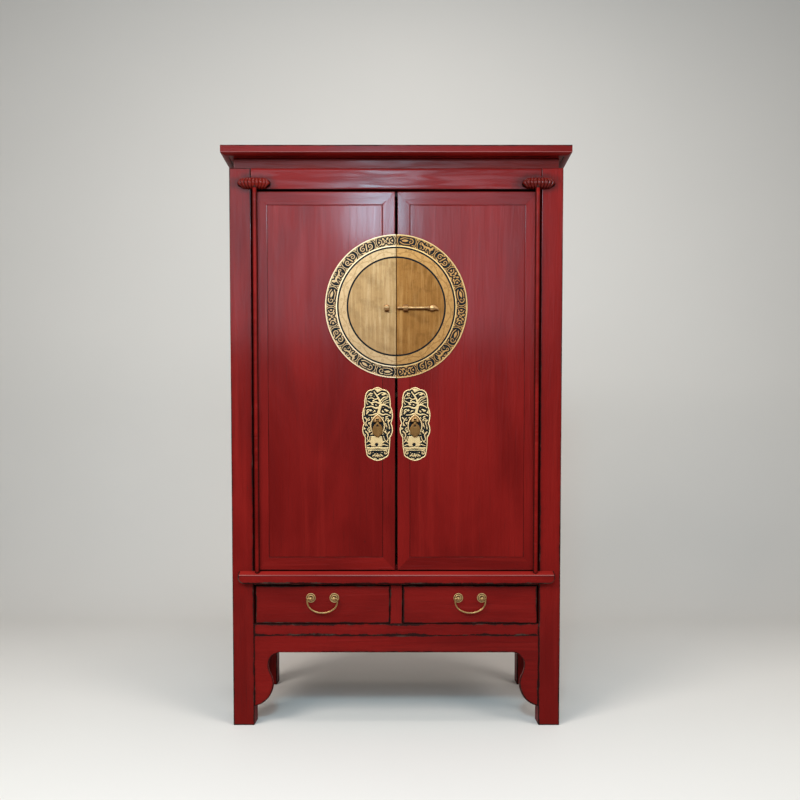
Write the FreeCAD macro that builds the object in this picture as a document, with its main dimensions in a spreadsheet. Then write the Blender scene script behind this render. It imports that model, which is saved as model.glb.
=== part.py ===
import FreeCAD, Part
import math
import os
import Sketcher

doc = FreeCAD.newDocument("WeddingCabinet")
sheet = doc.addObject("Spreadsheet::Sheet", "sizes")

# Driving dimensions in millimetres, grouped by the piece that they belong to.
SIZES = {
    # Case
    "case_width": 1060,
    "case_depth": 520,
    "case_height": 1787,
    "post_width": 68,
    "post_depth": 62,
    "frame_setback": 1.5,
    "rail_depth": 34,
    "top_rail_height": 66.5,
    "waist_level": 459,
    "waist_height": 45,
    "lower_rail_level": 294,
    "lower_rail_height": 38,
    # Joinery
    "tenon_length": 25,
    "tenon_thickness": 10,
    "tenon_shoulder": 8,
    "joint_play": 0.2,
    "tongue_depth": 8,
    "panel_inset": 8,
    "side_panel_thickness": 12,
    "back_panel_thickness": 10,
    "stop_height": 18,
    "stop_gap": 0.5,
    # Head
    "frieze_height": 34.5,
    "frieze_inset": 12,
    "frieze_thickness": 30,
    "cornice_height": 28.5,
    "cornice_fascia": 22,
    "cornice_step": 22,
    "cornice_bulge": 25,
    "cornice_member": 95,
    "front_overhang": 24,
    "back_overhang": 4,
    "side_overhang": 22.5,
    "top_panel_thickness": 14,
    "top_panel_drop": 1,
    # Waist moulding
    "waist_length": 1016,
    "waist_reach": 22,
    "waist_lift": 7,
    "waist_slope": 10.5,
    "waist_nose": 3,
    "waist_end_round": 20,
    # Inside of the case
    "floor_thickness": 12,
    "floor_drop": 13,
    "shelf_share": 0.465,
    "shelf_thickness": 16,
    "shelf_setback": 8,
    "shelf_play": 1,
    "cleat_height": 26,
    "cleat_width": 22,
    # Drawer frame
    "divider_width": 39,
    "divider_tenon": 12,
    "runner_width": 22,
    "runner_height": 20,
    "guide_height": 14,
    "guide_play": 1,
    "kicker_width": 56,
    "kicker_play": 1.5,
    # Aprons
    "apron_height": 56,
    "apron_thickness": 18,
    "apron_setback": 3,
    "bracket_cove": 42,
    "bracket_neck": 45,
    "bracket_lobe": 61,
    "bracket_swell": 63,
    "bracket_drop": 71,
    # Pivot bosses and rods
    "boss_length": 105,
    "boss_radius": 19,
    "boss_offset": 3.5,
    "boss_groove": 3.4,
    "boss_rise": 17.5,
    "boss_seat": 3,
    "rod_radius": 7.8,
    "rod_reach": 9,
    "rod_post_gap": 6.7,
    "rod_end_play": 0.3,
    "pivot_radius": 5,
    "pivot_length": 9,
    "pivot_play": 0.1,
    "seat_play": 0.6,
    # Doors
    "seam_gap": 8,
    "door_lap": 5,
    "door_proud": 3,
    "door_thickness": 24,
    "door_head_gap": 8.5,
    "door_foot_gap": 4,
    "outer_stile": 43,
    "meeting_stile": 40,
    "door_rail": 42,
    "door_panel_thickness": 12,
    "panel_joint": 0.4,
    "tongue_inset": 4,
    "tongue_thickness": 6,
    "batten_height": 40,
    # Round lock plate
    "disc_radius": 227,
    "disc_drop": 361,
    "disc_thickness": 1.6,
    "disc_seam": 2.5,
    "rim_width": 4,
    "rim_height": 0.8,
    "band_radius": 186,
    "hub_radius": 155,
    "line_width": 3,
    "line_depth": 0.8,
    # Staples and lock pin
    "staple_place": 30,
    "staple_length": 15,
    "staple_radius": 10.5,
    "staple_end_radius": 8.6,
    "staple_standoff": 8.5,
    "pin_drop": 6,
    "pin_radius": 3.5,
    "pin_play": 0.1,
    "pin_length": 95,
    "pin_rest_gap": 2,
    "pin_collar": 5.5,
    "pin_collar_length": 5,
    "finial_length": 31,
    "finial_height": 18,
    "finial_depth": 11,
    # Pull plates and drops
    "plate_place": 60,
    "plate_width": 98,
    "plate_height": 236,
    "plate_drop": 734,
    "plate_thickness": 1.5,
    "collar_width": 46,
    "collar_height": 66,
    "collar_drop": 13,
    "collar_rise": 3,
    "knob_width": 30,
    "knob_height": 34,
    "knob_rise": 12,
    "knob_drop": 2,
    "axle_rise": 10,
    "axle_standoff": 5.5,
    "axle_radius": 1.6,
    "axle_play": 0.1,
    "slot_width": 10,
    "slot_reach": 5.5,
    "knob_open": 4,
    "knuckle_radius": 3.4,
    "drop_neck": 8.4,
    "drop_width": 33,
    "drop_length": 52,
    "drop_shoulder": 30,
    "drop_thickness": 2.6,
    # Drawers
    "drawer_side_gap": 7,
    "drawer_stile_gap": 2.5,
    "drawer_head_gap": 2.5,
    "drawer_foot_gap": 2.5,
    "drawer_recess": 1,
    "drawer_front_thickness": 20,
    "drawer_box_play": 1,
    "drawer_lift": 0.3,
    "drawer_side_height": 104,
    "drawer_side_thickness": 11,
    "drawer_bottom_thickness": 7,
    "drawer_bottom_rise": 8,
    "drawer_groove": 5,
    "drawer_back_gap": 43.5,
    # Drawer handles
    "rosette_spacing": 76,
    "rosette_drop": 39.5,
    "rosette_radius": 15.5,
    "rosette_step_radius": 11.5,
    "rosette_thickness": 2.2,
    "rosette_neck": 3.6,
    "pommel_radius": 5.6,
    "bail_standoff": 12,
    "bail_wire": 2.8,
    "bail_play": 0.1,
    "bail_bend": 5,
    "bail_side": 34,
    "bail_straight": 4,
    "bail_drop": 47,
    "bail_tip": 6.6,
    # One overrun for every cutting solid
    "overrun": 5,
}


def fillSheet():
    for row, (alias, size) in enumerate(SIZES.items(), start=1):
        sheet.set("A%d" % row, alias)
        sheet.set("B%d" % row, str(size))
        sheet.setAlias("B%d" % row, alias)
    doc.recompute()


class Length:
    # A number of millimetres together with the sheet formula that gives it.
    def __init__(self, number, text):
        self.number = number
        self.text = text

    def __add__(self, other):
        return Length(self.number + numberOf(other), "(%s + %s)" % (self.text, textOf(other)))

    def __radd__(self, other):
        return Length(numberOf(other) + self.number, "(%s + %s)" % (textOf(other), self.text))

    def __sub__(self, other):
        return Length(self.number - numberOf(other), "(%s - %s)" % (self.text, textOf(other)))

    def __mul__(self, other):
        return Length(self.number * numberOf(other), "(%s * %s)" % (self.text, textOf(other)))

    def __rmul__(self, other):
        return Length(numberOf(other) * self.number, "(%s * %s)" % (textOf(other), self.text))

    def __truediv__(self, other):
        return Length(self.number / numberOf(other), "(%s / %s)" % (self.text, textOf(other)))

    def __neg__(self):
        return Length(-self.number, "(0 - %s)" % self.text)


def numberOf(item):
    return item.number if isinstance(item, Length) else float(item)


def textOf(item):
    return item.text if isinstance(item, Length) else "(%s)" % item


class Sizes:
    # Every named size of the sheet, read back from its cell.
    def __init__(self):
        for alias in SIZES:
            setattr(self, alias, Length(float(sheet.get(alias)), "sizes.%s" % alias))


fillSheet()
s = Sizes()
zero = Length(0.0, "0")
axisNames = ("x", "y", "z")
sides = (("left", -1), ("right", 1))

# Levels and faces that more than one piece follows
front = s.front_overhang - (s.case_depth + s.front_overhang + s.back_overhang) / 2
back = front + s.case_depth
halfWidth = s.case_width / 2
postIn = halfWidth - s.post_width
postBack = front + s.post_depth
rearPostFront = back - s.post_depth
frameFront = front + s.frame_setback
railBack = frameFront + s.rail_depth
frameBack = back - s.frame_setback
rearRailFront = frameBack - s.rail_depth
sideRailOut = halfWidth - s.frame_setback
sideRailIn = sideRailOut - s.rail_depth
openingTop = s.case_height - s.top_rail_height
waistTop = s.waist_level + s.waist_height
drawerSill = s.lower_rail_level + s.lower_rail_height
apronFoot = s.lower_rail_level - s.apron_height
corniceFoot = s.case_height + s.frieze_height
corniceTop = corniceFoot + s.cornice_height
floorTop = waistTop - s.floor_drop
floorFoot = floorTop - s.floor_thickness
rodX = postIn - s.rod_post_gap - s.rod_radius
rodY = front - s.rod_reach
doorFront = front - s.door_proud
doorBack = doorFront + s.door_thickness
doorIn = s.seam_gap / 2
doorOut = rodX + s.door_lap
doorFoot = waistTop + s.door_foot_gap
doorTop = openingTop - s.door_head_gap
discFront = doorFront - s.disc_thickness
pinY = discFront - s.staple_standoff
plateFront = doorFront - s.plate_thickness
axleY = plateFront - s.axle_standoff
dividerHalf = s.divider_width / 2
discLevel = doorTop - s.disc_drop
pinLevel = discLevel - s.pin_drop
plateLevel = doorTop - s.plate_drop
axleLevel = plateLevel + s.axle_rise
bossLevel = openingTop + s.boss_rise
shelfLevel = waistTop + (openingTop - waistTop) * s.shelf_share
mouldingFoot = s.waist_level + s.waist_lift

# Cuts that a piece receives from what is let into it, by the label of that piece
pockets = {}
finished = []


def ordered(pair):
    low, high = pair
    return (low, high) if numberOf(low) <= numberOf(high) else (high, low)


def bind(thing, name, size):
    thing.setExpression(name, textOf(size))


def block(label, x, y, z):
    box = doc.addObject("Part::Box", label)
    box.Label = label
    for edge, axis, pair in zip(("Length", "Width", "Height"), axisNames, (x, y, z)):
        low, high = ordered(pair)
        bind(box, edge, high - low)
        bind(box, "Placement.Base.%s" % axis, low)
    return box


def fuse(label, pieces):
    union = doc.addObject("Part::MultiFuse", label)
    union.Label = label
    union.Shapes = pieces
    return union


def cut(label, base, tools):
    tool = tools[0] if len(tools) == 1 else fuse(label + "_cutter", tools)
    result = doc.addObject("Part::Cut", label)
    base.Label = label + "_blank"
    result.Label = label
    result.Base = base
    result.Tool = tool
    return result


def common(label, first, second):
    result = doc.addObject("Part::Common", label)
    result.Label = label
    result.Base = first
    result.Tool = second
    return result


def gather(label, pieces):
    for count, piece in enumerate(pieces, start=1):
        if piece.Label == label:
            piece.Label = "%s_%d" % (label, count)
    compound = doc.addObject("Part::Compound", label)
    compound.Label = label
    compound.Links = pieces
    return compound


def letIn(host, ranges, play):
    grown = tuple((ordered(pair)[0] - play, ordered(pair)[1] + play) for pair in ranges)
    pockets.setdefault(host, []).append(grown)


def carve(label, base):
    grooves = pockets.get(label, [])
    if not grooves:
        return base
    tools = [block("%s_pocket" % label, *ranges) for ranges in grooves]
    return cut(label, base, tools)


def keep(piece):
    finished.append(piece)
    return piece


# Sketch of straight lines and arcs. A step is a corner, or a corner with the radius and turn of
# the arc that leads to it. Turn is 1 for an arc that bends left on its way and -1 for right.
def outline(body, name, role, start, steps):
    plane = [item for item in body.Origin.OriginFeatures if item.Role == role][0]
    sketch = body.newObject("Sketcher::SketchObject", name)
    sketch.AttachmentSupport = [(plane, "")]
    sketch.MapMode = "FlatFace"
    corners = [start] + [step[0] for step in steps]
    for index, step in enumerate(steps):
        first = FreeCAD.Vector(numberOf(corners[index][0]), numberOf(corners[index][1]), 0)
        last = FreeCAD.Vector(numberOf(step[0][0]), numberOf(step[0][1]), 0)
        if len(step) == 1:
            sketch.addGeometry(Part.LineSegment(first, last), False)
        else:
            sketch.addGeometry(Part.Arc(first, arcMiddle(first, last, step[1], step[2]), last), False)
    count = len(steps)
    for index, step in enumerate(steps):
        here, there = endsOf(sketch, index, corners[index])
        tie = sketch.addConstraint(Sketcher.Constraint("DistanceX", -1, 1, index, there,
                                                       numberOf(step[0][0])))
        bind(sketch, "Constraints[%d]" % tie, step[0][0])
        tie = sketch.addConstraint(Sketcher.Constraint("DistanceY", -1, 1, index, there,
                                                       numberOf(step[0][1])))
        bind(sketch, "Constraints[%d]" % tie, step[0][1])
        following = (index + 1) % count
        nextHere = endsOf(sketch, following, step[0])[0]
        sketch.addConstraint(Sketcher.Constraint("Coincident", index, there, following, nextHere))
        if len(step) > 1:
            tie = sketch.addConstraint(Sketcher.Constraint("Radius", index, numberOf(step[1])))
            bind(sketch, "Constraints[%d]" % tie, step[1])
    return sketch


def arcMiddle(first, last, radius, turn):
    chord = last - first
    half = chord.Length / 2
    sagitta = numberOf(radius) - math.sqrt(max(numberOf(radius) ** 2 - half ** 2, 0))
    right = FreeCAD.Vector(chord.y, -chord.x, 0).normalize()
    return (first + last) / 2 + right * (sagitta * turn)


def endsOf(sketch, index, corner):
    point = FreeCAD.Vector(numberOf(corner[0]), numberOf(corner[1]), 0)
    startPoint = sketch.getPoint(index, 1)
    endPoint = sketch.getPoint(index, 2)
    if (startPoint - point).Length <= (endPoint - point).Length:
        return 1, 2
    return 2, 1


def bodyAt(label, place):
    body = doc.addObject("PartDesign::Body", label)
    body.Label = label
    for axis, size in zip(axisNames, place):
        bind(body, "Placement.Base.%s" % axis, size)
    return body


def pad(body, sketch, length, backwards=False, middle=False):
    feature = body.newObject("PartDesign::Pad", sketch.Name + "_pad")
    feature.Profile = sketch
    feature.Reversed = backwards
    if middle:
        feature.Midplane = True
    bind(feature, "Length", length)
    body.Tip = feature
    return feature


def revolve(body, sketch, axis, angle):
    feature = body.newObject("PartDesign::Revolution", sketch.Name + "_turned")
    feature.Profile = sketch
    feature.ReferenceAxis = (sketch, [axis])
    feature.Angle = angle
    body.Tip = feature
    return feature


def plate(label, role, place, start, steps, thickness, backwards=False, middle=False):
    body = bodyAt(label, place)
    pad(body, outline(body, label + "_outline", role, start, steps), thickness, backwards, middle)
    return body


def turning(label, role, axis, place, corners):
    body = bodyAt(label, place)
    steps = [(corner,) for corner in corners[1:] + corners[:1]]
    revolve(body, outline(body, label + "_profile", role, corners[0], steps), axis, 360)
    return body


def rod(label, radius, axis, start, end):
    cylinder = doc.addObject("Part::Cylinder", label)
    cylinder.Label = label
    turns = {"x": FreeCAD.Rotation(FreeCAD.Vector(0, 1, 0), 90),
             "y": FreeCAD.Rotation(FreeCAD.Vector(1, 0, 0), 90),
             "z": FreeCAD.Rotation()}
    cylinder.Placement = FreeCAD.Placement(FreeCAD.Vector(), turns[axis])
    bind(cylinder, "Radius", radius)
    run = end[axisNames.index(axis)] - start[axisNames.index(axis)]
    bind(cylinder, "Height", -run if axis == "y" else run)
    for name, size in zip(axisNames, start):
        bind(cylinder, "Placement.Base.%s" % name, size)
    return cylinder


# Rails run between the posts. Their tenons are let into the posts at each end.
def crossRail(label, y, z, extra=()):
    middle = (y[0] + y[1]) / 2
    tenonY = (middle - s.tenon_thickness / 2, middle + s.tenon_thickness / 2)
    tenonZ = (z[0] + s.tenon_shoulder, z[1] - s.tenon_shoulder)
    pieces = [block(label + "_bar", (-postIn, postIn), y, z)]
    depth = "front" if numberOf(y[0]) < 0 else "rear"
    for side, sign in sides:
        ranges = ((sign * postIn, sign * (postIn + s.tenon_length)), tenonY, tenonZ)
        pieces.append(block(label + "_tenon", *ranges))
        letIn("%s_%s_post" % (depth, side), ranges, s.joint_play)
    return fuse(label, pieces + list(extra))


def sideRail(label, side, sign, z):
    middle = sideRailOut - s.rail_depth / 2
    tenonX = (sign * (middle - s.tenon_thickness / 2), sign * (middle + s.tenon_thickness / 2))
    tenonZ = (z[0] + s.tenon_shoulder, z[1] - s.tenon_shoulder)
    name = "%s_%s" % (label, side)
    bar = block(name + "_bar", (sign * sideRailIn, sign * sideRailOut), (postBack, rearPostFront), z)
    pieces = [bar]
    for depth, shoulder, reach in (("front", postBack, -s.tenon_length),
                                   ("rear", rearPostFront, s.tenon_length)):
        ranges = (tenonX, (shoulder, shoulder + reach), tenonZ)
        pieces.append(block(name + "_tenon", *ranges))
        letIn("%s_%s_post" % (depth, side), ranges, s.joint_play)
    return fuse(name, pieces)


topSpan = (openingTop, s.case_height)
waistSpan = (s.waist_level, waistTop)
lowerSpan = (s.lower_rail_level, drawerSill)
frontSpan = (frameFront, railBack)
rearSpan = (rearRailFront, frameBack)


def makePanels():
    sideX = (sideRailOut - s.panel_inset - s.side_panel_thickness, sideRailOut - s.panel_inset)
    backY = (frameBack - s.panel_inset - s.back_panel_thickness, frameBack - s.panel_inset)
    tongue = s.tongue_depth
    rows = (("", waistTop, openingTop, "mid", "top"),
            ("lower_", drawerSill, s.waist_level, "lower", "mid"))
    lowerSides = []
    for prefix, low, high, under, over in rows:
        z = (low - tongue, high + tongue)
        for side, sign in sides:
            x = (sign * sideX[0], sign * sideX[1])
            ranges = (x, (postBack - tongue, rearPostFront + tongue), z)
            panel = block("%s_%sside_panel" % (side, prefix), *ranges)
            for host in ("front_%s_post" % side, "rear_%s_post" % side,
                         "%s_rail_%s" % (under, side), "%s_rail_%s" % (over, side)):
                letIn(host, ranges, s.joint_play)
            if prefix:
                lowerSides.append(panel)
            else:
                keep(panel).Label = "%s_side_panel" % side
        ranges = ((-postIn - tongue, postIn + tongue), backY, z)
        panel = block("%sback_panel" % prefix, *ranges)
        panel.Label = "%sback_panel" % prefix
        for host in ("rear_left_post", "rear_right_post", "%s_back_rail" % under, "%s_back_rail" % over):
            letIn(host, ranges, s.joint_play)
        keep(panel)
    keep(gather("lower_side_panels", lowerSides))
    return sideX[0], backY[0]


def makeCaseFloor():
    tongue = s.tongue_depth
    x = (-sideRailIn - tongue, sideRailIn + tongue)
    ranges = (x, (railBack - tongue, rearRailFront + tongue), (floorFoot, floorTop))
    for host in ("mid_front_rail", "mid_back_rail", "mid_rail_left", "mid_rail_right"):
        letIn(host, ranges, s.joint_play)
    for side, sign in sides:
        postX = (sign * postIn, sign * halfWidth)
        letIn("case_floor", (postX, (front, postBack), (zero, s.case_height)), s.joint_play)
        letIn("case_floor", (postX, (rearPostFront, back), (zero, s.case_height)), s.joint_play)
    keep(carve("case_floor", block("case_floor", *ranges)))


def makeDivider():
    y = (frameFront, railBack)
    bar = block("divider_bar", (-dividerHalf, dividerHalf), y, (drawerSill, s.waist_level))
    middle = (y[0] + y[1]) / 2
    tenonX = (-dividerHalf + s.tenon_shoulder, dividerHalf - s.tenon_shoulder)
    tenonY = (middle - s.tenon_thickness / 2, middle + s.tenon_thickness / 2)
    ranges = (tenonX, tenonY, (drawerSill - s.divider_tenon, s.waist_level + s.divider_tenon))
    keep(fuse("drawer_divider", [bar, block("divider_tenon", *ranges)]))
    for host in ("lower_front_rail", "mid_front_rail"):
        letIn(host, ranges, s.joint_play)


def makeRails():
    stopY = (doorBack + s.stop_gap, railBack)
    topStop = block("top_stop", (-postIn, postIn), stopY, (openingTop - s.stop_height, openingTop))
    midStop = block("mid_stop", (-postIn, postIn), stopY, (waistTop, waistTop + s.stop_height))
    rails = (("top_front_rail", frontSpan, topSpan, [topStop]),
             ("top_back_rail", rearSpan, topSpan, []),
             ("mid_front_rail", frontSpan, waistSpan, [midStop]),
             ("mid_back_rail", rearSpan, waistSpan, []),
             ("lower_front_rail", frontSpan, lowerSpan, []),
             ("lower_back_rail", rearSpan, lowerSpan, []))
    for label, y, z, extra in rails:
        keep(carve(label, crossRail(label, y, z, extra)))
    for label, z in (("top", topSpan), ("mid", waistSpan), ("lower", lowerSpan)):
        pair = [sideRail("%s_rail" % label, side, sign, z) for side, sign in sides]
        keep(gather("%s_side_rails" % label, [carve(rail.Label, rail) for rail in pair]))


def makePosts():
    for side, sign in sides:
        for depth, y in (("front", (front, postBack)), ("rear", (rearPostFront, back))):
            label = "%s_%s_post" % (depth, side)
            base = block(label, (sign * postIn, sign * halfWidth), y, (zero, s.case_height))
            keep(carve(label, base))


def makeShelf(sidePanelIn, backPanelFront):
    x = (-sidePanelIn + s.shelf_play, sidePanelIn - s.shelf_play)
    y = (postBack + s.shelf_setback, backPanelFront - s.shelf_play)
    z = (shelfLevel, shelfLevel + s.shelf_thickness)
    for side, sign in sides:
        postX = (sign * postIn, sign * halfWidth)
        letIn("shelf", (postX, (rearPostFront, back), z), s.shelf_play)
    keep(carve("shelf", block("shelf", x, y, z)))
    cleats = []
    for side, sign in sides:
        cleatX = (sign * (sidePanelIn - s.cleat_width), sign * sidePanelIn)
        cleatZ = (shelfLevel - s.cleat_height, shelfLevel)
        cleats.append(block("cleat_%s" % side, cleatX, (postBack, rearPostFront), cleatZ))
    keep(gather("shelf_cleats", cleats))


def makeRunners():
    y = (railBack, rearRailFront)
    sillZ = (drawerSill - s.runner_height, drawerSill)
    guideZ = (drawerSill, drawerSill + s.guide_height)
    boxOut = postIn - s.drawer_side_gap - s.drawer_box_play
    boxIn = dividerHalf + s.drawer_stile_gap + s.drawer_box_play
    pieces = []
    for side, sign in sides:
        runner = block("runner_bar_" + side, (sign * (postIn - s.runner_width), sign * postIn), y, sillZ)
        guide = block("guide_bar_" + side, (sign * (boxOut + s.guide_play), sign * postIn), y, guideZ)
        pieces.append(fuse("runner_" + side, [runner, guide]))
    centreHalf = boxIn + s.runner_width / 2
    runner = block("runner_bar_centre", (-centreHalf, centreHalf), y, sillZ)
    guideHalf = boxIn - s.guide_play
    guide = block("guide_bar_centre", (-guideHalf, guideHalf), y, guideZ)
    pieces.append(fuse("runner_centre", [runner, guide]))
    kickerFoot = drawerSill + s.drawer_lift + s.drawer_side_height + s.kicker_play
    kickerX = (-s.kicker_width / 2, s.kicker_width / 2)
    pieces.append(block("kicker", kickerX, y, (kickerFoot, floorFoot)))
    keep(gather("drawer_runners", pieces))


def mitred(label, outer, width, cornerSign, along, z):
    # Plan of one member of a mitred frame: outer half sizes, face width, side it lies on.
    halfX, lowY, highY = outer
    if along == "x":
        edge = lowY if cornerSign < 0 else highY
        inner = edge - cornerSign * width
        corners = [(-halfX, edge), (halfX, edge), (halfX - width, inner), (-halfX + width, inner)]
    else:
        edge = cornerSign * halfX
        inner = edge - cornerSign * width
        corners = [(edge, lowY), (edge, highY), (inner, highY - width), (inner, lowY + width)]
    steps = [(corner,) for corner in corners[1:] + corners[:1]]
    return plate(label, "XY_Plane", (zero, zero, z[0]), corners[0], steps, z[1] - z[0])


def makeFrieze():
    outer = (halfWidth - s.frieze_inset, front + s.frieze_inset, back - s.frieze_inset)
    z = (s.case_height, corniceFoot)
    members = []
    for name, sign, along in (("front", -1, "x"), ("back", 1, "x"), ("left", -1, "y"), ("right", 1, "y")):
        members.append(mitred("frieze_" + name, outer, s.frieze_thickness, sign, along, z))
    keep(gather("frieze_boards", members))


def corniceProfile(label, role, edge, sign, length):
    # Section of the cornice: upright fascia over a swelling curve, rebated inside for the top panel.
    inner = edge - sign * s.cornice_member
    ledge = corniceTop - s.top_panel_drop - s.top_panel_thickness
    start = (inner, corniceFoot)
    foot = (edge - sign * s.cornice_step, corniceFoot)
    shoulder = (edge, corniceTop - s.cornice_fascia)
    turn = 1 if sign > 0 else -1
    rebate = inner + sign * s.tongue_depth
    steps = [(foot,), (shoulder, s.cornice_bulge, turn), ((edge, corniceTop),), ((rebate, corniceTop),),
             ((rebate, ledge),), ((inner, ledge),), (start,)]
    return plate(label, role, (zero, zero, zero), start, steps, length, False, True)


def makeCornice():
    halfX = halfWidth + s.side_overhang
    outer = (halfX, front - s.front_overhang, back + s.back_overhang)
    z = (corniceFoot, corniceTop)
    longRun = 2 * halfX + s.overrun
    deepRun = 2 * (outer[2] - outer[1])
    members = []
    for name, sign, along in (("front", -1, "x"), ("back", 1, "x"), ("left", -1, "y"), ("right", 1, "y")):
        plan = mitred("cornice_plan_" + name, outer, s.cornice_member, sign, along, z)
        if along == "x":
            edge = outer[1] if sign < 0 else outer[2]
            section = corniceProfile("cornice_section_" + name, "YZ_Plane", edge, sign, longRun)
        else:
            section = corniceProfile("cornice_section_" + name, "XZ_Plane", sign * halfX, sign, deepRun)
        members.append(common("cornice_" + name, section, plan))
    keep(gather("cornice_frame", members))
    inX = halfX - s.cornice_member + s.tongue_depth - s.joint_play
    inY = (outer[1] + s.cornice_member - s.tongue_depth + s.joint_play,
           outer[2] - s.cornice_member + s.tongue_depth - s.joint_play)
    panelTop = corniceTop - s.top_panel_drop
    keep(block("top_panel", (-inX, inX), inY, (panelTop - s.top_panel_thickness, panelTop)))


def seatLevel():
    # Height of the sloping top of the moulding below the axis of the rods.
    return waistTop - s.waist_slope * (s.rod_reach / s.waist_reach)


def makeWaistMoulding():
    reach = front - s.waist_reach
    lip = waistTop - s.waist_slope
    start = (front, mouldingFoot)
    steps = [((front, waistTop),), ((reach, lip),), ((reach, mouldingFoot + s.waist_nose),),
             ((reach + s.waist_nose, mouldingFoot), s.waist_nose, 1), (start,)]
    bar = plate("waist_bar", "YZ_Plane", (zero, zero, zero), start, steps, s.waist_length, False, True)
    half = s.waist_length / 2
    turn = s.waist_end_round
    start = (-half + turn, mouldingFoot)
    steps = [((half - turn, mouldingFoot),), ((half, mouldingFoot + turn), turn, 1),
             ((half, waistTop),), ((-half, waistTop),), ((-half, mouldingFoot + turn),),
             (start, turn, 1)]
    face = plate("waist_face", "XZ_Plane", (zero, front, zero), start, steps, s.waist_reach + s.overrun)
    moulding = common("waist_shape", bar, face)
    tools = []
    for side, sign in sides:
        seat = (sign * rodX, rodY, seatLevel())
        top = (sign * rodX, rodY, waistTop + s.overrun)
        tools.append(rod("waist_seat_" + side, s.rod_radius + s.seat_play, "z", seat, top))
        foot = (sign * rodX, rodY, seatLevel() - s.pivot_length - s.rod_end_play)
        tools.append(rod("waist_socket_" + side, s.pivot_radius + s.pivot_play, "z", foot, seat))
    keep(cut("waist_moulding", moulding, tools))


bossRibCount = 9
bossEndShare = 0.42
bossFullShare = 0.92


def bossRadius(place):
    # Radius of the boss over its length, from -1 at one end to 1 at the other.
    share = bossEndShare + (bossFullShare - bossEndShare) * math.sqrt(max(1 - place * place, 0))
    return s.boss_radius.number * share


def makeBoss(side, sign):
    # Half of a turned barrel lying along the rail, with a rounded rib between each pair of grooves.
    label = "%s_pivot_boss" % side
    half = s.boss_length.number / 2
    groove = s.boss_groove.number
    edges = []
    previous = FreeCAD.Vector(-half, 0, bossRadius(-1) - groove / 2)
    first = previous
    for rib in range(bossRibCount):
        middle = (2 * rib + 1) / bossRibCount - 1
        end = (2 * rib + 2) / bossRibCount - 1
        crest = FreeCAD.Vector(middle * half, 0, bossRadius(middle) + groove / 4)
        valley = FreeCAD.Vector(end * half, 0, bossRadius(end) - groove / 2)
        edges.append(Part.Arc(previous, crest, valley).toShape())
        previous = valley
    foot = FreeCAD.Vector(half, 0, 0)
    heel = FreeCAD.Vector(-half, 0, 0)
    edges += [Part.makeLine(previous, foot), Part.makeLine(foot, heel), Part.makeLine(heel, first)]
    profile = Part.Face(Part.Wire(edges))
    barrel = profile.revolve(FreeCAD.Vector(), FreeCAD.Vector(1, 0, 0), 180)
    if barrel.BoundBox.YMax > groove:
        barrel = profile.revolve(FreeCAD.Vector(), FreeCAD.Vector(-1, 0, 0), 180)
    blank = doc.addObject("Part::Feature", label + "_turned")
    blank.Shape = barrel
    for axis, size in zip(axisNames, (sign * (rodX + s.boss_offset), front, bossLevel)):
        bind(blank, "Placement.Base.%s" % axis, size)
    foot = bossLevel - s.boss_radius - s.overrun
    seat = bossLevel - s.boss_radius + s.boss_seat
    spot = rod(label + "_seat", s.rod_radius + s.seat_play, "z", (sign * rodX, rodY, foot),
               (sign * rodX, rodY, seat))
    socketTop = seat + s.pivot_length + s.rod_end_play
    socket = rod(label + "_socket", s.pivot_radius + s.pivot_play, "z", (sign * rodX, rodY, seat),
                 (sign * rodX, rodY, socketTop))
    keep(cut(label, blank, [spot, socket]))


def uprightRadius(across, rise):
    # Radius of an arc that is upright at one end and runs that far across and that far up.
    return (across * across + rise * rise) / (2 * across)


def apronSteps(edge, low, high, sign):
    # Half of an apron, from the foot of its bracket at the post to the underside of its band.
    neckZ = low - s.bracket_cove
    lobeZ = neckZ - s.bracket_swell
    lean = (s.bracket_lobe - s.bracket_neck) / 2
    rise = s.bracket_swell / 2
    swell = uprightRadius(lean, rise)
    start = (edge, lobeZ - s.bracket_drop)
    lobe = (edge + sign * s.bracket_lobe, lobeZ)
    middle = (edge + sign * (s.bracket_lobe - lean), lobeZ + rise)
    neck = (edge + sign * s.bracket_neck, neckZ)
    band = (edge + sign * (s.bracket_neck + s.bracket_cove), low)
    return start, lobe, middle, neck, band, swell


def apron(label, role, place, low, high, span):
    left = apronSteps(span[0], low, high, 1)
    right = apronSteps(span[1], low, high, -1)
    tip = uprightRadius(s.bracket_lobe, s.bracket_drop)
    steps = [(left[1], tip, 1), (left[2], left[5], 1), (left[3], left[5], -1),
             (left[4], s.bracket_cove, -1), (right[4],), (right[3], s.bracket_cove, -1),
             (right[2], right[5], -1), (right[1], right[5], 1), (right[0], tip, 1),
             ((span[1], high),), ((span[0], high),), (left[0],)]
    return plate(label, role, place, left[0], steps, s.apron_thickness)


def makeAprons():
    high = s.lower_rail_level
    apronBack = front + s.apron_setback + s.apron_thickness
    keep(apron("front_apron", "XZ_Plane", (zero, apronBack, zero), apronFoot, high, (-postIn, postIn)))
    for side, sign in sides:
        outer = sign * (halfWidth - s.apron_setback)
        x = outer - s.apron_thickness if sign > 0 else outer
        keep(apron("%s_apron" % side, "YZ_Plane", (x, zero, zero), apronFoot, high,
                   (postBack, rearPostFront)))


def doorMember(label, corners):
    steps = [(corner,) for corner in corners[1:] + corners[:1]]
    place = (zero, doorBack, zero)
    return plate(label, "XZ_Plane", place, corners[0], steps, s.door_thickness)


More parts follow.
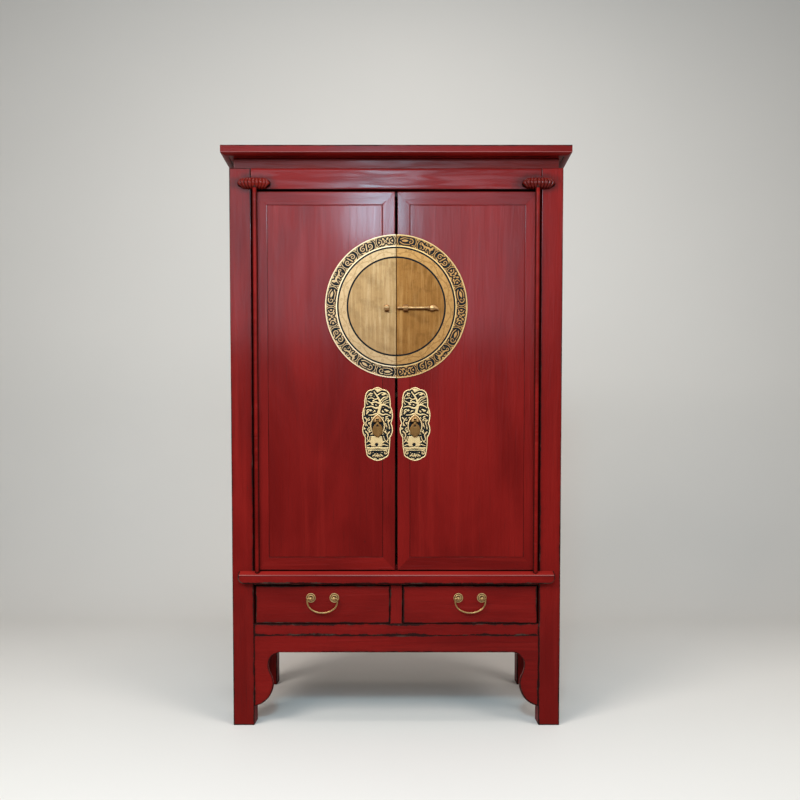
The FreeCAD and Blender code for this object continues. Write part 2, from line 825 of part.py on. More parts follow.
def makeDoorFrame(side, sign):
    inX = doorIn + s.meeting_stile
    outX = doorOut - s.outer_stile
    lowZ = doorFoot + s.door_rail
    highZ = doorTop - s.door_rail
    tongueRanges = ((sign * (inX - s.tongue_depth), sign * (outX + s.tongue_depth)),
                    (doorFront + s.tongue_inset, doorFront + s.tongue_inset + s.tongue_thickness),
                    (lowZ - s.tongue_depth, highZ + s.tongue_depth))
    members = {
        "outer_stile": [(doorOut, doorFoot), (doorOut, doorTop), (outX, highZ), (outX, lowZ)],
        "meeting_stile": [(doorIn, doorFoot), (inX, lowZ), (inX, highZ), (doorIn, doorTop)],
        "head": [(doorIn, doorTop), (inX, highZ), (outX, highZ), (doorOut, doorTop)],
        "foot": [(doorIn, doorFoot), (doorOut, doorFoot), (outX, lowZ), (inX, lowZ)],
    }
    made = {}
    for name, corners in members.items():
        label = "%s_%s" % (side, name)
        letIn(label, tongueRanges, s.joint_play)
        made[name] = carve(label, doorMember(label, [(sign * x, z) for x, z in corners]))
    keep(made["outer_stile"])
    keep(made["meeting_stile"])
    battens = []
    panelBack = doorFront + s.door_panel_thickness
    for step in (1, 2):
        middle = lowZ + (highZ - lowZ) * step / 3
        z = (middle - s.batten_height / 2, middle + s.batten_height / 2)
        name = "%s_batten_%d" % (side, step)
        battens.append(block(name, (sign * inX, sign * outX), (panelBack, doorBack), z))
    keep(gather("%s_door_rails" % side, [made["head"], made["foot"]] + battens))
    fieldX = (sign * (inX + s.panel_joint), sign * (outX - s.panel_joint))
    fieldZ = (lowZ + s.panel_joint, highZ - s.panel_joint)
    field = block("%s_field" % side, fieldX, (doorFront, panelBack), fieldZ)
    tongue = block("%s_tongue" % side, *tongueRanges)
    keep(fuse("%s_door_panel" % side, [field, tongue]))


def makePivotRod(side, sign):
    # Round rod on the face of the outer stile, with a smaller pivot at each end.
    label = "%s_pivot_rod" % side
    x = sign * rodX
    foot = seatLevel() + s.rod_end_play
    head = bossLevel - s.boss_radius + s.boss_seat - s.rod_end_play
    shaft = rod(label + "_shaft", s.rod_radius, "z", (x, rodY, foot), (x, rodY, head))
    pivot = rod(label + "_pivots", s.pivot_radius, "z", (x, rodY, foot - s.pivot_length),
                (x, rodY, head + s.pivot_length))
    flat = block(label + "_flat", (x - s.rod_radius - s.overrun, x + s.rod_radius + s.overrun),
                 (doorFront, rodY + s.rod_radius + s.overrun), (doorFoot, doorTop))
    keep(cut(label, fuse(label + "_round", [shaft, pivot]), [flat]))


def makeDisc(side, sign):
    # One half of the round plate: raised rim and two sunk lines, parted along the seam.
    label = "%s_disc_half" % side
    top = -s.disc_thickness
    sunk = top + s.line_depth
    rim = top - s.rim_height
    inner = s.disc_radius - s.rim_width
    corners = [(zero, zero), (s.disc_radius, zero), (s.disc_radius, rim), (inner, rim), (inner, top)]
    for radius in (s.band_radius, s.hub_radius):
        high = radius + s.line_width / 2
        low = radius - s.line_width / 2
        corners += [(high, top), (high, sunk), (low, sunk), (low, top)]
    corners.append((zero, top))
    disc = turning(label + "_turned", "XY_Plane", "V_Axis", (zero, doorFront, discLevel), corners)
    half = block(label + "_keep", (sign * s.disc_seam / 2, sign * (s.disc_radius + s.overrun)),
                 (doorFront - s.overrun, doorFront + s.overrun),
                 (discLevel - s.disc_radius - s.overrun, discLevel + s.disc_radius + s.overrun))
    keep(common(label, disc, half))


def makeStaple(side, sign):
    # Barrel ring that the lock pin slides through, standing on the plate.
    label = "%s_staple" % side
    half = s.staple_length / 2
    bore = s.pin_radius + s.pin_play
    start = (-half, bore)
    swell = s.staple_radius - s.staple_end_radius
    bulge = (half * half + swell * swell) / (2 * swell)
    body = bodyAt(label + "_turned", (sign * s.staple_place, pinY, pinLevel))
    steps = [((half, bore),), ((half, s.staple_end_radius),),
             ((-half, s.staple_end_radius), bulge, 1), (start,)]
    revolve(body, outline(body, label + "_profile", "XY_Plane", start, steps), "H_Axis", 360)
    place = sign * s.staple_place
    around = s.staple_radius + s.overrun
    flat = block(label + "_flat", (place - around, place + around), (discFront, discFront + around),
                 (pinLevel - around, pinLevel + around))
    keep(cut(label, body, [flat]))


# Comma-shaped end of the pin: centre of each oval section along and across it, size, and lean
finialPlaceShares = ((0.0, 0.0), (0.12, 0.0), (0.34, 0.01), (0.6, 0.03), (0.82, -0.06), (0.98, -0.26))
finialSwellShares = (0.5, 0.86, 1.0, 0.8, 0.5, 0.16)
finialTurns = (0, 0, 0, 12, 32, 52)


def makeLockPin():
    # Straight pin, collar and curled comma end. It lies drawn to the right of the door seam.
    tip = s.disc_seam / 2 + s.pin_rest_gap
    end = tip + s.pin_length
    shaft = rod("pin_shaft", s.pin_radius, "x", (tip, pinY, pinLevel), (end, pinY, pinLevel))
    heel = end + s.pin_collar_length
    collar = rod("pin_collar", s.pin_collar, "x", (end, pinY, pinLevel), (heel, pinY, pinLevel))
    sections = []
    length = s.finial_length.number
    for (along, rise), swell, turn in zip(finialPlaceShares, finialSwellShares, finialTurns):
        tall = s.finial_height.number / 2 * swell
        deep = s.finial_depth.number / 2 * swell
        oval = Part.Ellipse(FreeCAD.Vector(), tall, deep).toShape()
        oval.Placement = FreeCAD.Placement(FreeCAD.Vector(length * along, 0, length * rise),
                                           FreeCAD.Rotation(FreeCAD.Vector(0, 1, 0), turn - 90))
        sections.append(Part.Wire(oval))
    finial = doc.addObject("Part::Feature", "pin_finial")
    finial.Shape = Part.makeLoft(sections, True, False)
    for axis, size in zip(axisNames, (heel, pinY, pinLevel)):
        bind(finial, "Placement.Base.%s" % axis, size)
    keep(fuse("lock_pin", [shaft, collar, finial]))


# Right half of the pull plate outline from its top point to its bottom point: corners as shares of
# the half width and of the height, and the radius of each swelling arc as a share of the half width.
plateCornerShares = ((0.0, 1.0), (0.36, 0.966), (0.78, 0.905), (0.86, 0.74), (0.9, 0.506),
                     (0.83, 0.316), (0.74, 0.1), (0.5, 0.04), (0.0, 0.0))
plateArcShares = (1.1, 0.42, 2.6, 1.35, 0.84, 4.4, 0.3, 0.9)


def plateSteps(sign):
    halfWide = s.plate_width / 2
    low = plateLevel - s.plate_height / 2
    points = [(halfWide * x, low + s.plate_height * z) for x, z in plateCornerShares]
    near = [(sign * (s.plate_place + x), z) for x, z in points]
    far = [(sign * (s.plate_place - x), z) for x, z in points]
    radii = [halfWide * share for share in plateArcShares]
    steps = [(corner, radius, -sign) for corner, radius in zip(near[1:], radii)]
    steps += [(corner, radius, -sign) for corner, radius in zip(far[-2::-1], radii[::-1])]
    return near[0], steps


def makePullPlate(side, sign):
    label = "%s_pull_plate" % side
    start, steps = plateSteps(sign)
    sheetPlate = plate(label + "_sheet", "XZ_Plane", (zero, doorFront, zero), start, steps,
                       s.plate_thickness)
    x = sign * s.plate_place
    collar = doc.addObject("Part::Ellipsoid", label + "_collar")
    knob = doc.addObject("Part::Ellipsoid", label + "_knob")
    for oval, wide, tall, rise, z in (
            (collar, s.collar_width, s.collar_height, s.collar_rise, axleLevel - s.collar_drop),
            (knob, s.knob_width, s.knob_height, s.knob_rise, axleLevel - s.knob_drop)):
        bind(oval, "Radius1", tall / 2)
        bind(oval, "Radius2", wide / 2)
        bind(oval, "Radius3", rise)
        for axis, size in zip(axisNames, (x, plateFront, z)):
            bind(oval, "Placement.Base.%s" % axis, size)
    spread = s.collar_height
    beyond = plateFront - s.knob_rise - s.overrun
    under = block(label + "_under", (x - s.knob_width, x + s.knob_width), (beyond, doorFront),
                  (axleLevel - s.knob_open, axleLevel - s.knob_height))
    hood = cut(label + "_hood", knob, [under])
    ahead = block(label + "_ahead", (x - spread, x + spread), (plateFront - spread, plateFront),
                  (axleLevel - spread, axleLevel + spread))
    cup = common(label + "_cup", fuse(label + "_ovals", [collar, hood]), ahead)
    slotX = (x - s.slot_width / 2, x + s.slot_width / 2)
    slot = block(label + "_slot", slotX, (beyond, plateFront),
                 (axleLevel + s.slot_reach, axleLevel - s.slot_reach))
    slotted = cut(label + "_slotted", cup, [slot])
    lug = s.slot_width / 2 + s.axle_radius
    axle = rod(label + "_axle", s.axle_radius, "x", (x - lug, axleY, axleLevel),
               (x + lug, axleY, axleLevel))
    keep(gather(label, [sheetPlate, fuse(label + "_boss", [slotted, axle])]))


def makeDrop(side, sign):
    # Leaf-shaped drop that swings on the axle of the knob.
    label = "%s_pull_drop" % side
    x = sign * s.plate_place
    top = axleLevel
    shoulder = top - s.drop_shoulder
    neck = s.drop_neck / 2
    wide = s.drop_width / 2
    neckFoot = top - s.drop_neck
    tip = top - s.drop_length
    crown = uprightRadius(wide - neck, s.drop_shoulder - s.drop_neck)
    belly = uprightRadius(wide, s.drop_length - s.drop_shoulder)
    start = (x - neck, top)
    steps = [((x - neck, neckFoot),), ((x - wide, shoulder), crown, 1),
             ((x, tip), belly, 1), ((x + wide, shoulder), belly, 1),
             ((x + neck, neckFoot), crown, 1), ((x + neck, top),), (start,)]
    place = (zero, axleY + s.drop_thickness / 2, zero)
    leaf = plate(label + "_leaf", "XZ_Plane", place, start, steps, s.drop_thickness)
    knuckle = rod(label + "_knuckle", s.knuckle_radius, "x", (x - neck, axleY, top), (x + neck, axleY, top))
    bore = rod(label + "_bore", s.axle_radius + s.axle_play, "x",
               (x - neck - s.overrun, axleY, top), (x + neck + s.overrun, axleY, top))
    keep(cut(label, fuse(label + "_solid", [leaf, knuckle]), [bore]))


def drawerSpan(sign):
    return sign * (dividerHalf + s.drawer_stile_gap), sign * (postIn - s.drawer_side_gap)


def makeDrawer(side, sign):
    faceY = front + s.drawer_recess
    backY = faceY + s.drawer_front_thickness
    endY = rearRailFront - s.drawer_back_gap
    nearX, farX = drawerSpan(sign)
    insideX = (nearX + sign * s.drawer_box_play, farX - sign * s.drawer_box_play)
    z = (drawerSill + s.drawer_foot_gap, s.waist_level - s.drawer_head_gap)
    boxFoot = drawerSill + s.drawer_lift
    boxZ = (boxFoot, boxFoot + s.drawer_side_height)
    thick = s.drawer_side_thickness
    bottomZ = (boxFoot + s.drawer_bottom_rise, boxFoot + s.drawer_bottom_rise + s.drawer_bottom_thickness)
    bottomX = (insideX[0] + sign * (thick - s.drawer_groove), insideX[1] - sign * (thick - s.drawer_groove))
    bottomRanges = (bottomX, (backY - s.drawer_groove, endY - thick + s.drawer_groove), bottomZ)
    frontLabel = "%s_drawer_front" % side
    letIn(frontLabel, bottomRanges, s.joint_play)
    keep(carve(frontLabel, block(frontLabel, (nearX, farX), (faceY, backY), z)))
    walls = {
        "inner": ((insideX[0], insideX[0] + sign * thick), (backY, endY), boxZ),
        "outer": ((insideX[1] - sign * thick, insideX[1]), (backY, endY), boxZ),
        "rear": ((insideX[0] + sign * thick, insideX[1] - sign * thick), (endY - thick, endY), boxZ),
    }
    pieces = []
    for name, ranges in walls.items():
        label = "%s_drawer_%s" % (side, name)
        letIn(label, bottomRanges, s.joint_play)
        pieces.append(carve(label, block(label, *ranges)))
    pieces.append(block("%s_drawer_bottom" % side, *bottomRanges))
    keep(gather("%s_drawer_box" % side, pieces))
    makeHandle(side, (nearX + farX) / 2, faceY)


def makeHandle(side, middle, faceY):
    z = s.waist_level - s.drawer_head_gap - s.rosette_drop
    axisY = faceY - s.bail_standoff
    roses = []
    for index, sign in enumerate((-1, 1), start=1):
        x = middle + sign * s.rosette_spacing / 2
        label = "%s_rosette_%d" % (side, index)
        thick = s.rosette_thickness
        corners = [(zero, zero), (s.rosette_radius, zero), (s.rosette_radius, -thick),
                   (s.rosette_step_radius, -thick), (s.rosette_step_radius, -2 * thick),
                   (s.rosette_neck, -2 * thick), (s.rosette_neck, -s.bail_standoff),
                   (zero, -s.bail_standoff)]
        disc = turning(label + "_disc", "XY_Plane", "V_Axis", (x, faceY, z), corners)
        ball = doc.addObject("Part::Sphere", label + "_ball")
        bind(ball, "Radius", s.pommel_radius)
        for axis, size in zip(axisNames, (x, axisY, z)):
            bind(ball, "Placement.Base.%s" % axis, size)
        reach = s.pommel_radius + s.overrun
        bore = rod(label + "_bore", s.bail_wire + s.bail_play, "x", (x - reach, axisY, z),
                   (x + reach, axisY, z))
        roses.append(cut(label, fuse(label + "_solid", [disc, ball]), [bore]))
    keep(gather("%s_rosettes" % side, roses))
    makeBail(side, middle, axisY, z)


def makeBail(side, middle, axisY, z):
    # Half of the path in the plane of the bail: tip, bend, short straight, side arc, bottom arc.
    halfSpan = s.rosette_spacing.number / 2
    wire = s.bail_wire.number
    bend = s.bail_bend.number
    sideRadius = s.bail_side.number
    tip = halfSpan - s.bail_tip.number
    bendStart = halfSpan + s.pommel_radius.number + s.bail_play.number
    outer = bendStart + bend
    drop = -bend
    arcTop = drop - s.bail_straight.number
    inner = outer - sideRadius
    depth = s.bail_drop.number
    # The bottom arc touches the side arc: both centres and the touching point lie in line.
    rise = depth - sideRadius + arcTop
    lift = (inner ** 2 - rise ** 2) / (2 * rise)
    bottomCentre = arcTop + lift
    slope = math.hypot(inner, lift)
    joinX = inner + sideRadius * inner / slope
    joinZ = arcTop - sideRadius * lift / slope
    middleAngle = math.atan2(joinZ - arcTop, joinX - inner) / 2

    def point(x, level):
        return FreeCAD.Vector(x, 0, level)

    diagonal = math.cos(math.pi / 4)
    edges = []
    for sign in (1, -1):
        corner = point(sign * (bendStart + bend * diagonal), drop + bend * diagonal)
        bulge = point(sign * (inner + sideRadius * math.cos(middleAngle)),
                      arcTop + sideRadius * math.sin(middleAngle))
        half = [Part.makeLine(point(sign * tip, 0), point(sign * bendStart, 0)),
                Part.Arc(point(sign * bendStart, 0), corner, point(sign * outer, drop)).toShape(),
                Part.makeLine(point(sign * outer, drop), point(sign * outer, arcTop)),
                Part.Arc(point(sign * outer, arcTop), bulge, point(sign * joinX, joinZ)).toShape()]
        edges.append(half)
    bottom = Part.Arc(point(joinX, joinZ), point(0, -depth), point(-joinX, joinZ)).toShape()
    path = Part.Wire(edges[0] + [bottom] + edges[1][::-1])
    section = Part.Wire(Part.Circle(point(tip, 0), FreeCAD.Vector(1, 0, 0), wire).toShape())
    bail = doc.addObject("Part::Feature", "%s_bail" % side)
    bail.Label = "%s_bail" % side
    bail.Shape = path.makePipeShell([section], True, False)
    for axis, size in zip(axisNames, (middle, axisY, z)):
        bind(bail, "Placement.Base.%s" % axis, size)
    keep(bail)


def makeCase():
    sidePanelIn, backPanelFront = makePanels()
    makeCaseFloor()
    makeDivider()
    makeRails()
    makePosts()
    makeShelf(sidePanelIn, backPanelFront)
    makeRunners()
    makeFrieze()
    makeCornice()
    makeWaistMoulding()
    makeAprons()
    for side, sign in sides:
        makeBoss(side, sign)


def makeDoor(side, sign):
    makeDoorFrame(side, sign)
    makePivotRod(side, sign)
    makeDisc(side, sign)
    makeStaple(side, sign)
    makePullPlate(side, sign)
    makeDrop(side, sign)


def checkAndWrite():
    doc.recompute()
    for item in doc.Objects:
        if "Invalid" in item.State or "Error" in item.State:
            raise RuntimeError("%s did not build: %s" % (item.Label, item.State))
    os.makedirs("parts", exist_ok=True)
    for piece in finished:
        if piece.Shape.isNull() or not piece.Shape.isValid() or not piece.Shape.Solids:
            raise RuntimeError("%s has no sound solid" % piece.Label)
    for piece in finished:
        piece.Shape.exportStep("parts/%s.step" % piece.Label)
    print("%d sub-parts written" % len(finished))


makeCase()
for sideName, sideSign in sides:
    makeDoor(sideName, sideSign)
makeLockPin()
for sideName, sideSign in sides:
    makeDrawer(sideName, sideSign)
checkAndWrite()
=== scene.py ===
import math

import bpy
import numpy as np
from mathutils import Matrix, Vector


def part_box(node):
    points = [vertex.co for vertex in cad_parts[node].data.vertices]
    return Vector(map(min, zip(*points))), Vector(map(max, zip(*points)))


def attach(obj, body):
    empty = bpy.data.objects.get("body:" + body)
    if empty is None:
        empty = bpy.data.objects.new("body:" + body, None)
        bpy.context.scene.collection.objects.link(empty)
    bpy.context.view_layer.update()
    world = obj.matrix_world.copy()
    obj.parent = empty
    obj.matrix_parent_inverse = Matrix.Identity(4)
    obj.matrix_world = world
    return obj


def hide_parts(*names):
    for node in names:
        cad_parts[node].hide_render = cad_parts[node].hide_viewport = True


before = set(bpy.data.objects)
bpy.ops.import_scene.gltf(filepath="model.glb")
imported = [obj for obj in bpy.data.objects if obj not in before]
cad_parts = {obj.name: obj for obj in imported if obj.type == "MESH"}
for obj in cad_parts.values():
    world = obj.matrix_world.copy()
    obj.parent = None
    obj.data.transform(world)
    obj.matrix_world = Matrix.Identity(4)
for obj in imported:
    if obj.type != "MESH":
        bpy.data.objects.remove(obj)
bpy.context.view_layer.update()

mm = 0.001
turn = 2 * math.pi
sides = (("left", -1), ("right", 1))
along = {"x": np.array([1.0, 0, 0]), "y": np.array([0, 1.0, 0]), "z": np.array([0, 0, 1.0])}
chance = np.random.default_rng(41)

scene = bpy.context.scene
scene.view_settings.view_transform = "Standard"


def boxOf(node):
    low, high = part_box(node)
    return np.array(low), np.array(high)


def stacked(*values):
    # Points or grain places from their three coordinates, each an array or one value
    return np.stack(np.broadcast_arrays(*values), -1)


def runOf(points):
    # Distance of each point along its line
    return np.concatenate([[0], np.linalg.norm(np.diff(points, axis=0), axis=1).cumsum()])


def wavesAlong(marks, *spans):
    # Slow random waves along a run, between -1 and 1
    phases = chance.uniform(0, turn, len(spans))
    return sum(np.sin(marks / span + phase) for span, phase in zip(spans, phases)) / len(spans)


def carried(values, shape, rest):
    # Values of a front sheet, then one value for the two points at the back of each section
    return np.concatenate([np.broadcast_to(values, shape), np.full((shape[0], 2), rest)], 1)


# Surfaces

edgeMarks = np.array([3, 7, 13]) * mm     # rows of points beside an edge, which carry the wear
farFromEdge = 0.05
boardStep = 45 * mm


def ringsPart(rings, reach=farFromEdge, grain=None, looped=False, open=False, **fields):
    # Sections of n points each, joined by quads. The ends are capped, or the last section joins the first.
    count, around = rings.shape[:2]
    index = np.arange(count * around).reshape(count, around)
    last = count if looped else count - 1
    here, there = index[:last], np.roll(index, -1, 0)[:last]
    stop = around - 1 if open else around
    quads = np.stack([here, np.roll(here, -1, 1), np.roll(there, -1, 1), there], -1)[:, :stop].reshape(-1, 4)
    points = rings.reshape(-1, 3)
    caps = [] if looped or open else [index[0][::-1], index[-1]]
    corners = points[quads]
    volume = sum((corners[:, 0] * np.cross(corners[:, a], corners[:, b])).sum() for a, b in ((1, 2), (2, 3)))
    for cap in caps:
        fan = points[cap]
        volume += (fan[0] * np.cross(fan[1:-1], fan[2:])).sum()
    if volume < 0:
        quads = quads[:, ::-1]
        caps = [cap[::-1] for cap in caps]
    part = {"points": points, "faces": [quads] + [cap[None] for cap in caps]}
    part["edgeReach"] = np.broadcast_to(reach, (count, around)).ravel()
    part["grainPlace"] = points if grain is None else np.broadcast_to(grain, rings.shape).reshape(-1, 3)
    for name, values in fields.items():
        part[name] = np.broadcast_to(values, (count, around)).ravel()
    return part


def makePiece(node, form, parts, material=None, body="case", crease=None):
    # All parts in one mesh, with their attributes. It rides on its body and replaces the node of its name.
    name, faces, start = node + "_" + form, [], 0
    for part in parts:
        for group in part["faces"]:
            faces += (group + start).tolist()
        start += len(part["points"])
    mesh = bpy.data.meshes.new(name)
    mesh.from_pydata(np.concatenate([part["points"] for part in parts]).tolist(), [], faces)
    for field in parts[0]:
        if field in ("points", "faces"):
            continue
        kind, key = ("FLOAT_VECTOR", "vector") if field == "grainPlace" else ("FLOAT", "value")
        values = np.concatenate([part[field] for part in parts]).astype(np.float32)
        mesh.attributes.new(field, kind, "POINT").data.foreach_set(key, values.ravel())
    mesh.shade_smooth()
    if crease is not None:
        mesh.set_sharp_from_angle(angle=math.radians(crease))
    mesh.materials.append(material or redLacquer)
    piece = bpy.data.objects.new(name, mesh)
    scene.collection.objects.link(piece)
    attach(piece, body)
    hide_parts(node)
    return piece


def keepSolid(node, material):
    # The CAD node is shown as it is, in its material
    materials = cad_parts[node].data.materials
    materials.clear()
    materials.append(material)


def marksAlong(length, soft, step=boardStep):
    # Distances along a run: close together near both ends, even between
    marks = edgeMarks[edgeMarks < length * 0.45]
    near = np.concatenate([[0, soft * 0.3, soft], marks[marks > soft]])
    fill = np.linspace(near[-1], length - near[-1], max(2, int(length / step) + 1))[1:-1]
    return np.concatenate([near, fill, (length - near)[::-1]])


def boardRing(width, depth, soft):
    # Rounded rectangle: across, into the depth, and the distance to the nearest arris
    def run(length):
        marks = edgeMarks[edgeMarks < length * 0.45]
        marks = marks[marks > soft * 1.5]
        return np.concatenate([[soft], marks, [length / 2], (length - marks)[::-1], [length - soft]])

    across, deep, bevel = run(width), run(depth), soft * 0.29
    faceReach, sideReach = np.minimum(across, width - across), np.minimum(deep, depth - deep)
    return np.concatenate([
        stacked(across, 0, faceReach), [[width - bevel, bevel, 0]],
        stacked(width, deep, sideReach), [[width - bevel, depth - bevel, 0]],
        stacked(across[::-1], depth, faceReach), [[bevel, depth - bevel, 0]],
        stacked(0, deep[::-1], sideReach), [[bevel, bevel, 0]]])


def seedPlace():
    return chance.uniform(0, 1, 3) * np.array([9.0, 3.0, 3.0])


def boardPart(start, run, across, depth, mitres=(0, 0), soft=1.2 * mm, bow=0.3 * mm, keen=1.0):
    # A rounded rectangle carried from start along run. A mitre shears an end by that share of the width.
    start, run, across, depth = (np.asarray(value, float) for value in (start, run, across, depth))
    length, width, thick = (np.linalg.norm(value) for value in (run, across, depth))
    way, side, inward = run / length, across / width, depth / thick
    ring = boardRing(width, thick, min(soft, thick * 0.3, width * 0.3))
    base = start + ring[:, :1] * side + ring[:, 1:2] * inward
    lean = ring[:, :1] * way
    first, last = base + lean * mitres[0], base + run - lean * mitres[1]
    marks = marksAlong(length, soft)
    rings = first + (last - first) * (marks / length)[:, None, None]
    fromEnd = np.minimum(marks, length - marks)
    pull = soft * np.clip(1 - fromEnd / soft, 0, 1) ** 2
    away = rings - rings.mean(1, keepdims=True)
    rings -= away / np.linalg.norm(away, axis=2, keepdims=True) * pull[:, None, None]
    waves = wavesAlong(marks, 0.061, 0.173, 0.029, 0.37) * np.clip(fromEnd / (30 * mm), 0, 1)
    edge = np.clip(1 - ring[:, 2] / edgeMarks[-1], 0, 1) * np.sign(ring[:, 0] - width / 2)
    rings += side * (waves[:, None] * edge * bow)[:, :, None]
    squareEnds = np.where(marks < length / 2, mitres[0] == 0, mitres[1] == 0)
    reach = np.where(squareEnds[:, None], np.minimum(ring[:, 2], fromEnd[:, None]), ring[:, 2]) * keen
    return ringsPart(rings, reach, stacked(marks[:, None], ring[:, 0], ring[:, 1]) + seedPlace())


def boxBoard(low, high, grain="z", face="y", **given):
    # A board that fills a box: its grain runs along one axis and its face looks along another
    low, high = np.asarray(low, float), np.asarray(high, float)
    size = high - low
    third = next(axis for axis in "xyz" if axis not in (grain, face))
    return boardPart(low, *(along[axis] * (size @ along[axis]) for axis in (grain, third, face)), **given)


def turnedPart(profile, centre, axis, around=40, reach=farFromEdge, looped=False, **fields):
    # A profile of (along the axis, radius) rows turned about the axis. Fields hold one value for each row.
    profile = np.asarray(profile, float)
    axis = along[axis]
    first = along["z"] if abs(axis[2]) < 0.5 else along["x"]
    second = np.cross(axis, first)
    angle = np.linspace(0, turn, around, endpoint=False)[None, :, None]
    spokes = np.cos(angle) * first + np.sin(angle) * second
    rings = np.asarray(centre) + profile[:, 0, None, None] * axis + profile[:, 1, None, None] * spokes
    columns = {name: np.broadcast_to(values, (len(profile),))[:, None] for name, values in fields.items()}
    return ringsPart(rings, np.broadcast_to(reach, (len(profile),))[:, None], looped=looped, **columns)


# Shader nodes


def addNode(tree, kind, inputs=None, **settings):
    made = tree.nodes.new("ShaderNode" + kind)
    for name, value in settings.items():
        setattr(made, name, value)
    for key, value in (inputs or {}).items():
        if isinstance(value, bpy.types.NodeSocket):
            tree.links.new(value, made.inputs[key])
        else:
            made.inputs[key].default_value = value
    return made


def sums(tree, operation, first, second=0.0):
    return addNode(tree, "Math", {0: first, 1: second}, operation=operation).outputs[0]


def plus(tree, first, second):
    return sums(tree, "ADD", first, second)


def minus(tree, first, second):
    return sums(tree, "SUBTRACT", first, second)


def times(tree, first, second):
    return sums(tree, "MULTIPLY", first, second)


def noiseOf(tree, place, scale, detail=3.0, roughness=0.55, distortion=0.0):
    made = addNode(tree, "TexNoise", {"Vector": place, "Scale": scale, "Detail": detail,
                                      "Roughness": roughness,
                                      "Distortion": distortion})
    return made.outputs[0]


def stretched(tree, place, scale):
    return addNode(tree, "Mapping", {"Vector": place, "Scale": scale}).outputs[0]


def between(tree, value, low, high, toLow=0.0, toHigh=1.0):
    # Smooth step of a value from low to high
    made = addNode(tree, "MapRange", {"Value": value, "From Min": low, "From Max": high, "To Min": toLow,
                                      "To Max": toHigh}, interpolation_type="SMOOTHSTEP")
    return made.outputs[0]


def blended(tree, share, first, second, mode="MIX"):
    made = addNode(tree, "Mix", {0: share, 6: first, 7: second}, data_type="RGBA", blend_type=mode)
    return made.outputs[2]


def nodeGroup(name, inputs, outputs):
    tree = bpy.data.node_groups.new(name, "ShaderNodeTree")
    kinds = {"value": "NodeSocketFloat", "vector": "NodeSocketVector", "colour": "NodeSocketColor"}
    for label, kind, start in inputs:
        socket = tree.interface.new_socket(label, in_out="INPUT", socket_type=kinds[kind])
        if start is not None:
            socket.default_value = start
    for label, kind in outputs:
        tree.interface.new_socket(label, in_out="OUTPUT", socket_type=kinds[kind])
    return tree, tree.nodes.new("NodeGroupInput").outputs, tree.nodes.new("NodeGroupOutput").inputs


def useGroup(tree, group, inputs):
    return addNode(tree, "Group", inputs, node_tree=group).outputs


def feed(tree, shader, **sources):
    # Joins sources to the inputs of the same names
    for key, source in sources.items():
        tree.links.new(source, shader.inputs[key.replace("_", " ")])


def makeWearGroup():
    # Rubbed edges: how bare an edge is, from the distance to it, broken up by noise along the board.
    # Halo is the darker skin beside it, and Primer the places where the ground coat shows.
    tree, given, out = nodeGroup("edgeWear", [("Reach", "value", farFromEdge), ("Place", "vector", None),
                                              ("Width", "value", 2.5 * mm), ("Breakup", "value", 1.0)],
                                 [("Bare", "value"), ("Halo", "value"), ("Primer", "value")])
    swing = 0.0
    for *grid, share in ((38.0, 5.0, 0.62, 3.6), (260.0, 3.0, 0.6, 1.6), (5.0, 2.0, 0.5, 4.0)):
        noise = noiseOf(tree, given["Place"], *grid)
        swing = plus(tree, swing, times(tree, minus(tree, noise, 0.5), share))
    spread = plus(tree, 1.0, times(tree, swing, given["Breakup"]))
    limit = sums(tree, "MAXIMUM", times(tree, spread, given["Width"]), 0.05 * mm)
    near = sums(tree, "DIVIDE", given["Reach"], limit)
    tree.links.new(between(tree, near, 1.15, 0.75), out["Bare"])
    tree.links.new(between(tree, sums(tree, "DIVIDE", near, 4.5), 1.0, 0.0), out["Halo"])
    tree.links.new(between(tree, noiseOf(tree, given["Place"], 17.0, 4.0, 0.6), 0.54, 0.64), out["Primer"])
    return tree


def makeGrainGroup():
    # Brushed coats over wood: long soft streaks, fine lines, cloudy tone and ripples, all along the grain
    tree, given, out = nodeGroup("woodGrain", [("Place", "vector", None)],
                                 [(name, "value") for name in ("Streak", "Fine", "Cloud", "Ripple")])
    for name, alongGrain, acrossGrain, *noise in (
            ("Streak", 1.1, 26.0, 6.0, 0.62, 0.25), ("Fine", 7.0, 420.0, 3.0, 0.6, 0.0),
            ("Cloud", 2.2, 5.0, 4.0, 0.5, 0.4), ("Ripple", 6.0, 62.0, 2.0, 0.45, 0.9)):
        place = stretched(tree, given["Place"], (alongGrain, acrossGrain, acrossGrain))
        tree.links.new(noiseOf(tree, place, 1.0, *noise), out[name])
    return tree


def makePatinaGroup():
    # Age on brass: cloudy tone, small dark spots and fine rubbing
    tree, given, out = nodeGroup("brassPatina", [("Place", "vector", None), ("Scale", "value", 1.0)],
                                 [("Cloud", "value"), ("Spots", "value"), ("Rub", "value")])
    place = addNode(tree, "VectorMath", {0: given["Place"]}, operation="SCALE")
    tree.links.new(given["Scale"], place.inputs["Scale"])
    place = place.outputs[0]
    tree.links.new(noiseOf(tree, place, 24.0, 5.0, 0.6, 0.3), out["Cloud"])
    tree.links.new(between(tree, noiseOf(tree, place, 210.0, 4.0, 0.65), 0.6, 0.72), out["Spots"])
    tree.links.new(noiseOf(tree, place, 520.0, 2.0, 0.5), out["Rub"])
    return tree


edgeWear, woodGrain, brassPatina = makeWearGroup(), makeGrainGroup(), makePatinaGroup()


def newMaterial(name, **constants):
    # Constants go to the shader's own sockets
    material = bpy.data.materials.new(name)
    material.use_nodes = True
    tree = material.node_tree
    shader = tree.nodes["Principled BSDF"]
    for key, value in constants.items():
        shader.inputs[key.replace("_", " ")].default_value = value
    return material, tree, shader


def attribute(tree, name, output="Fac"):
    return addNode(tree, "Attribute", attribute_name=name).outputs[output]


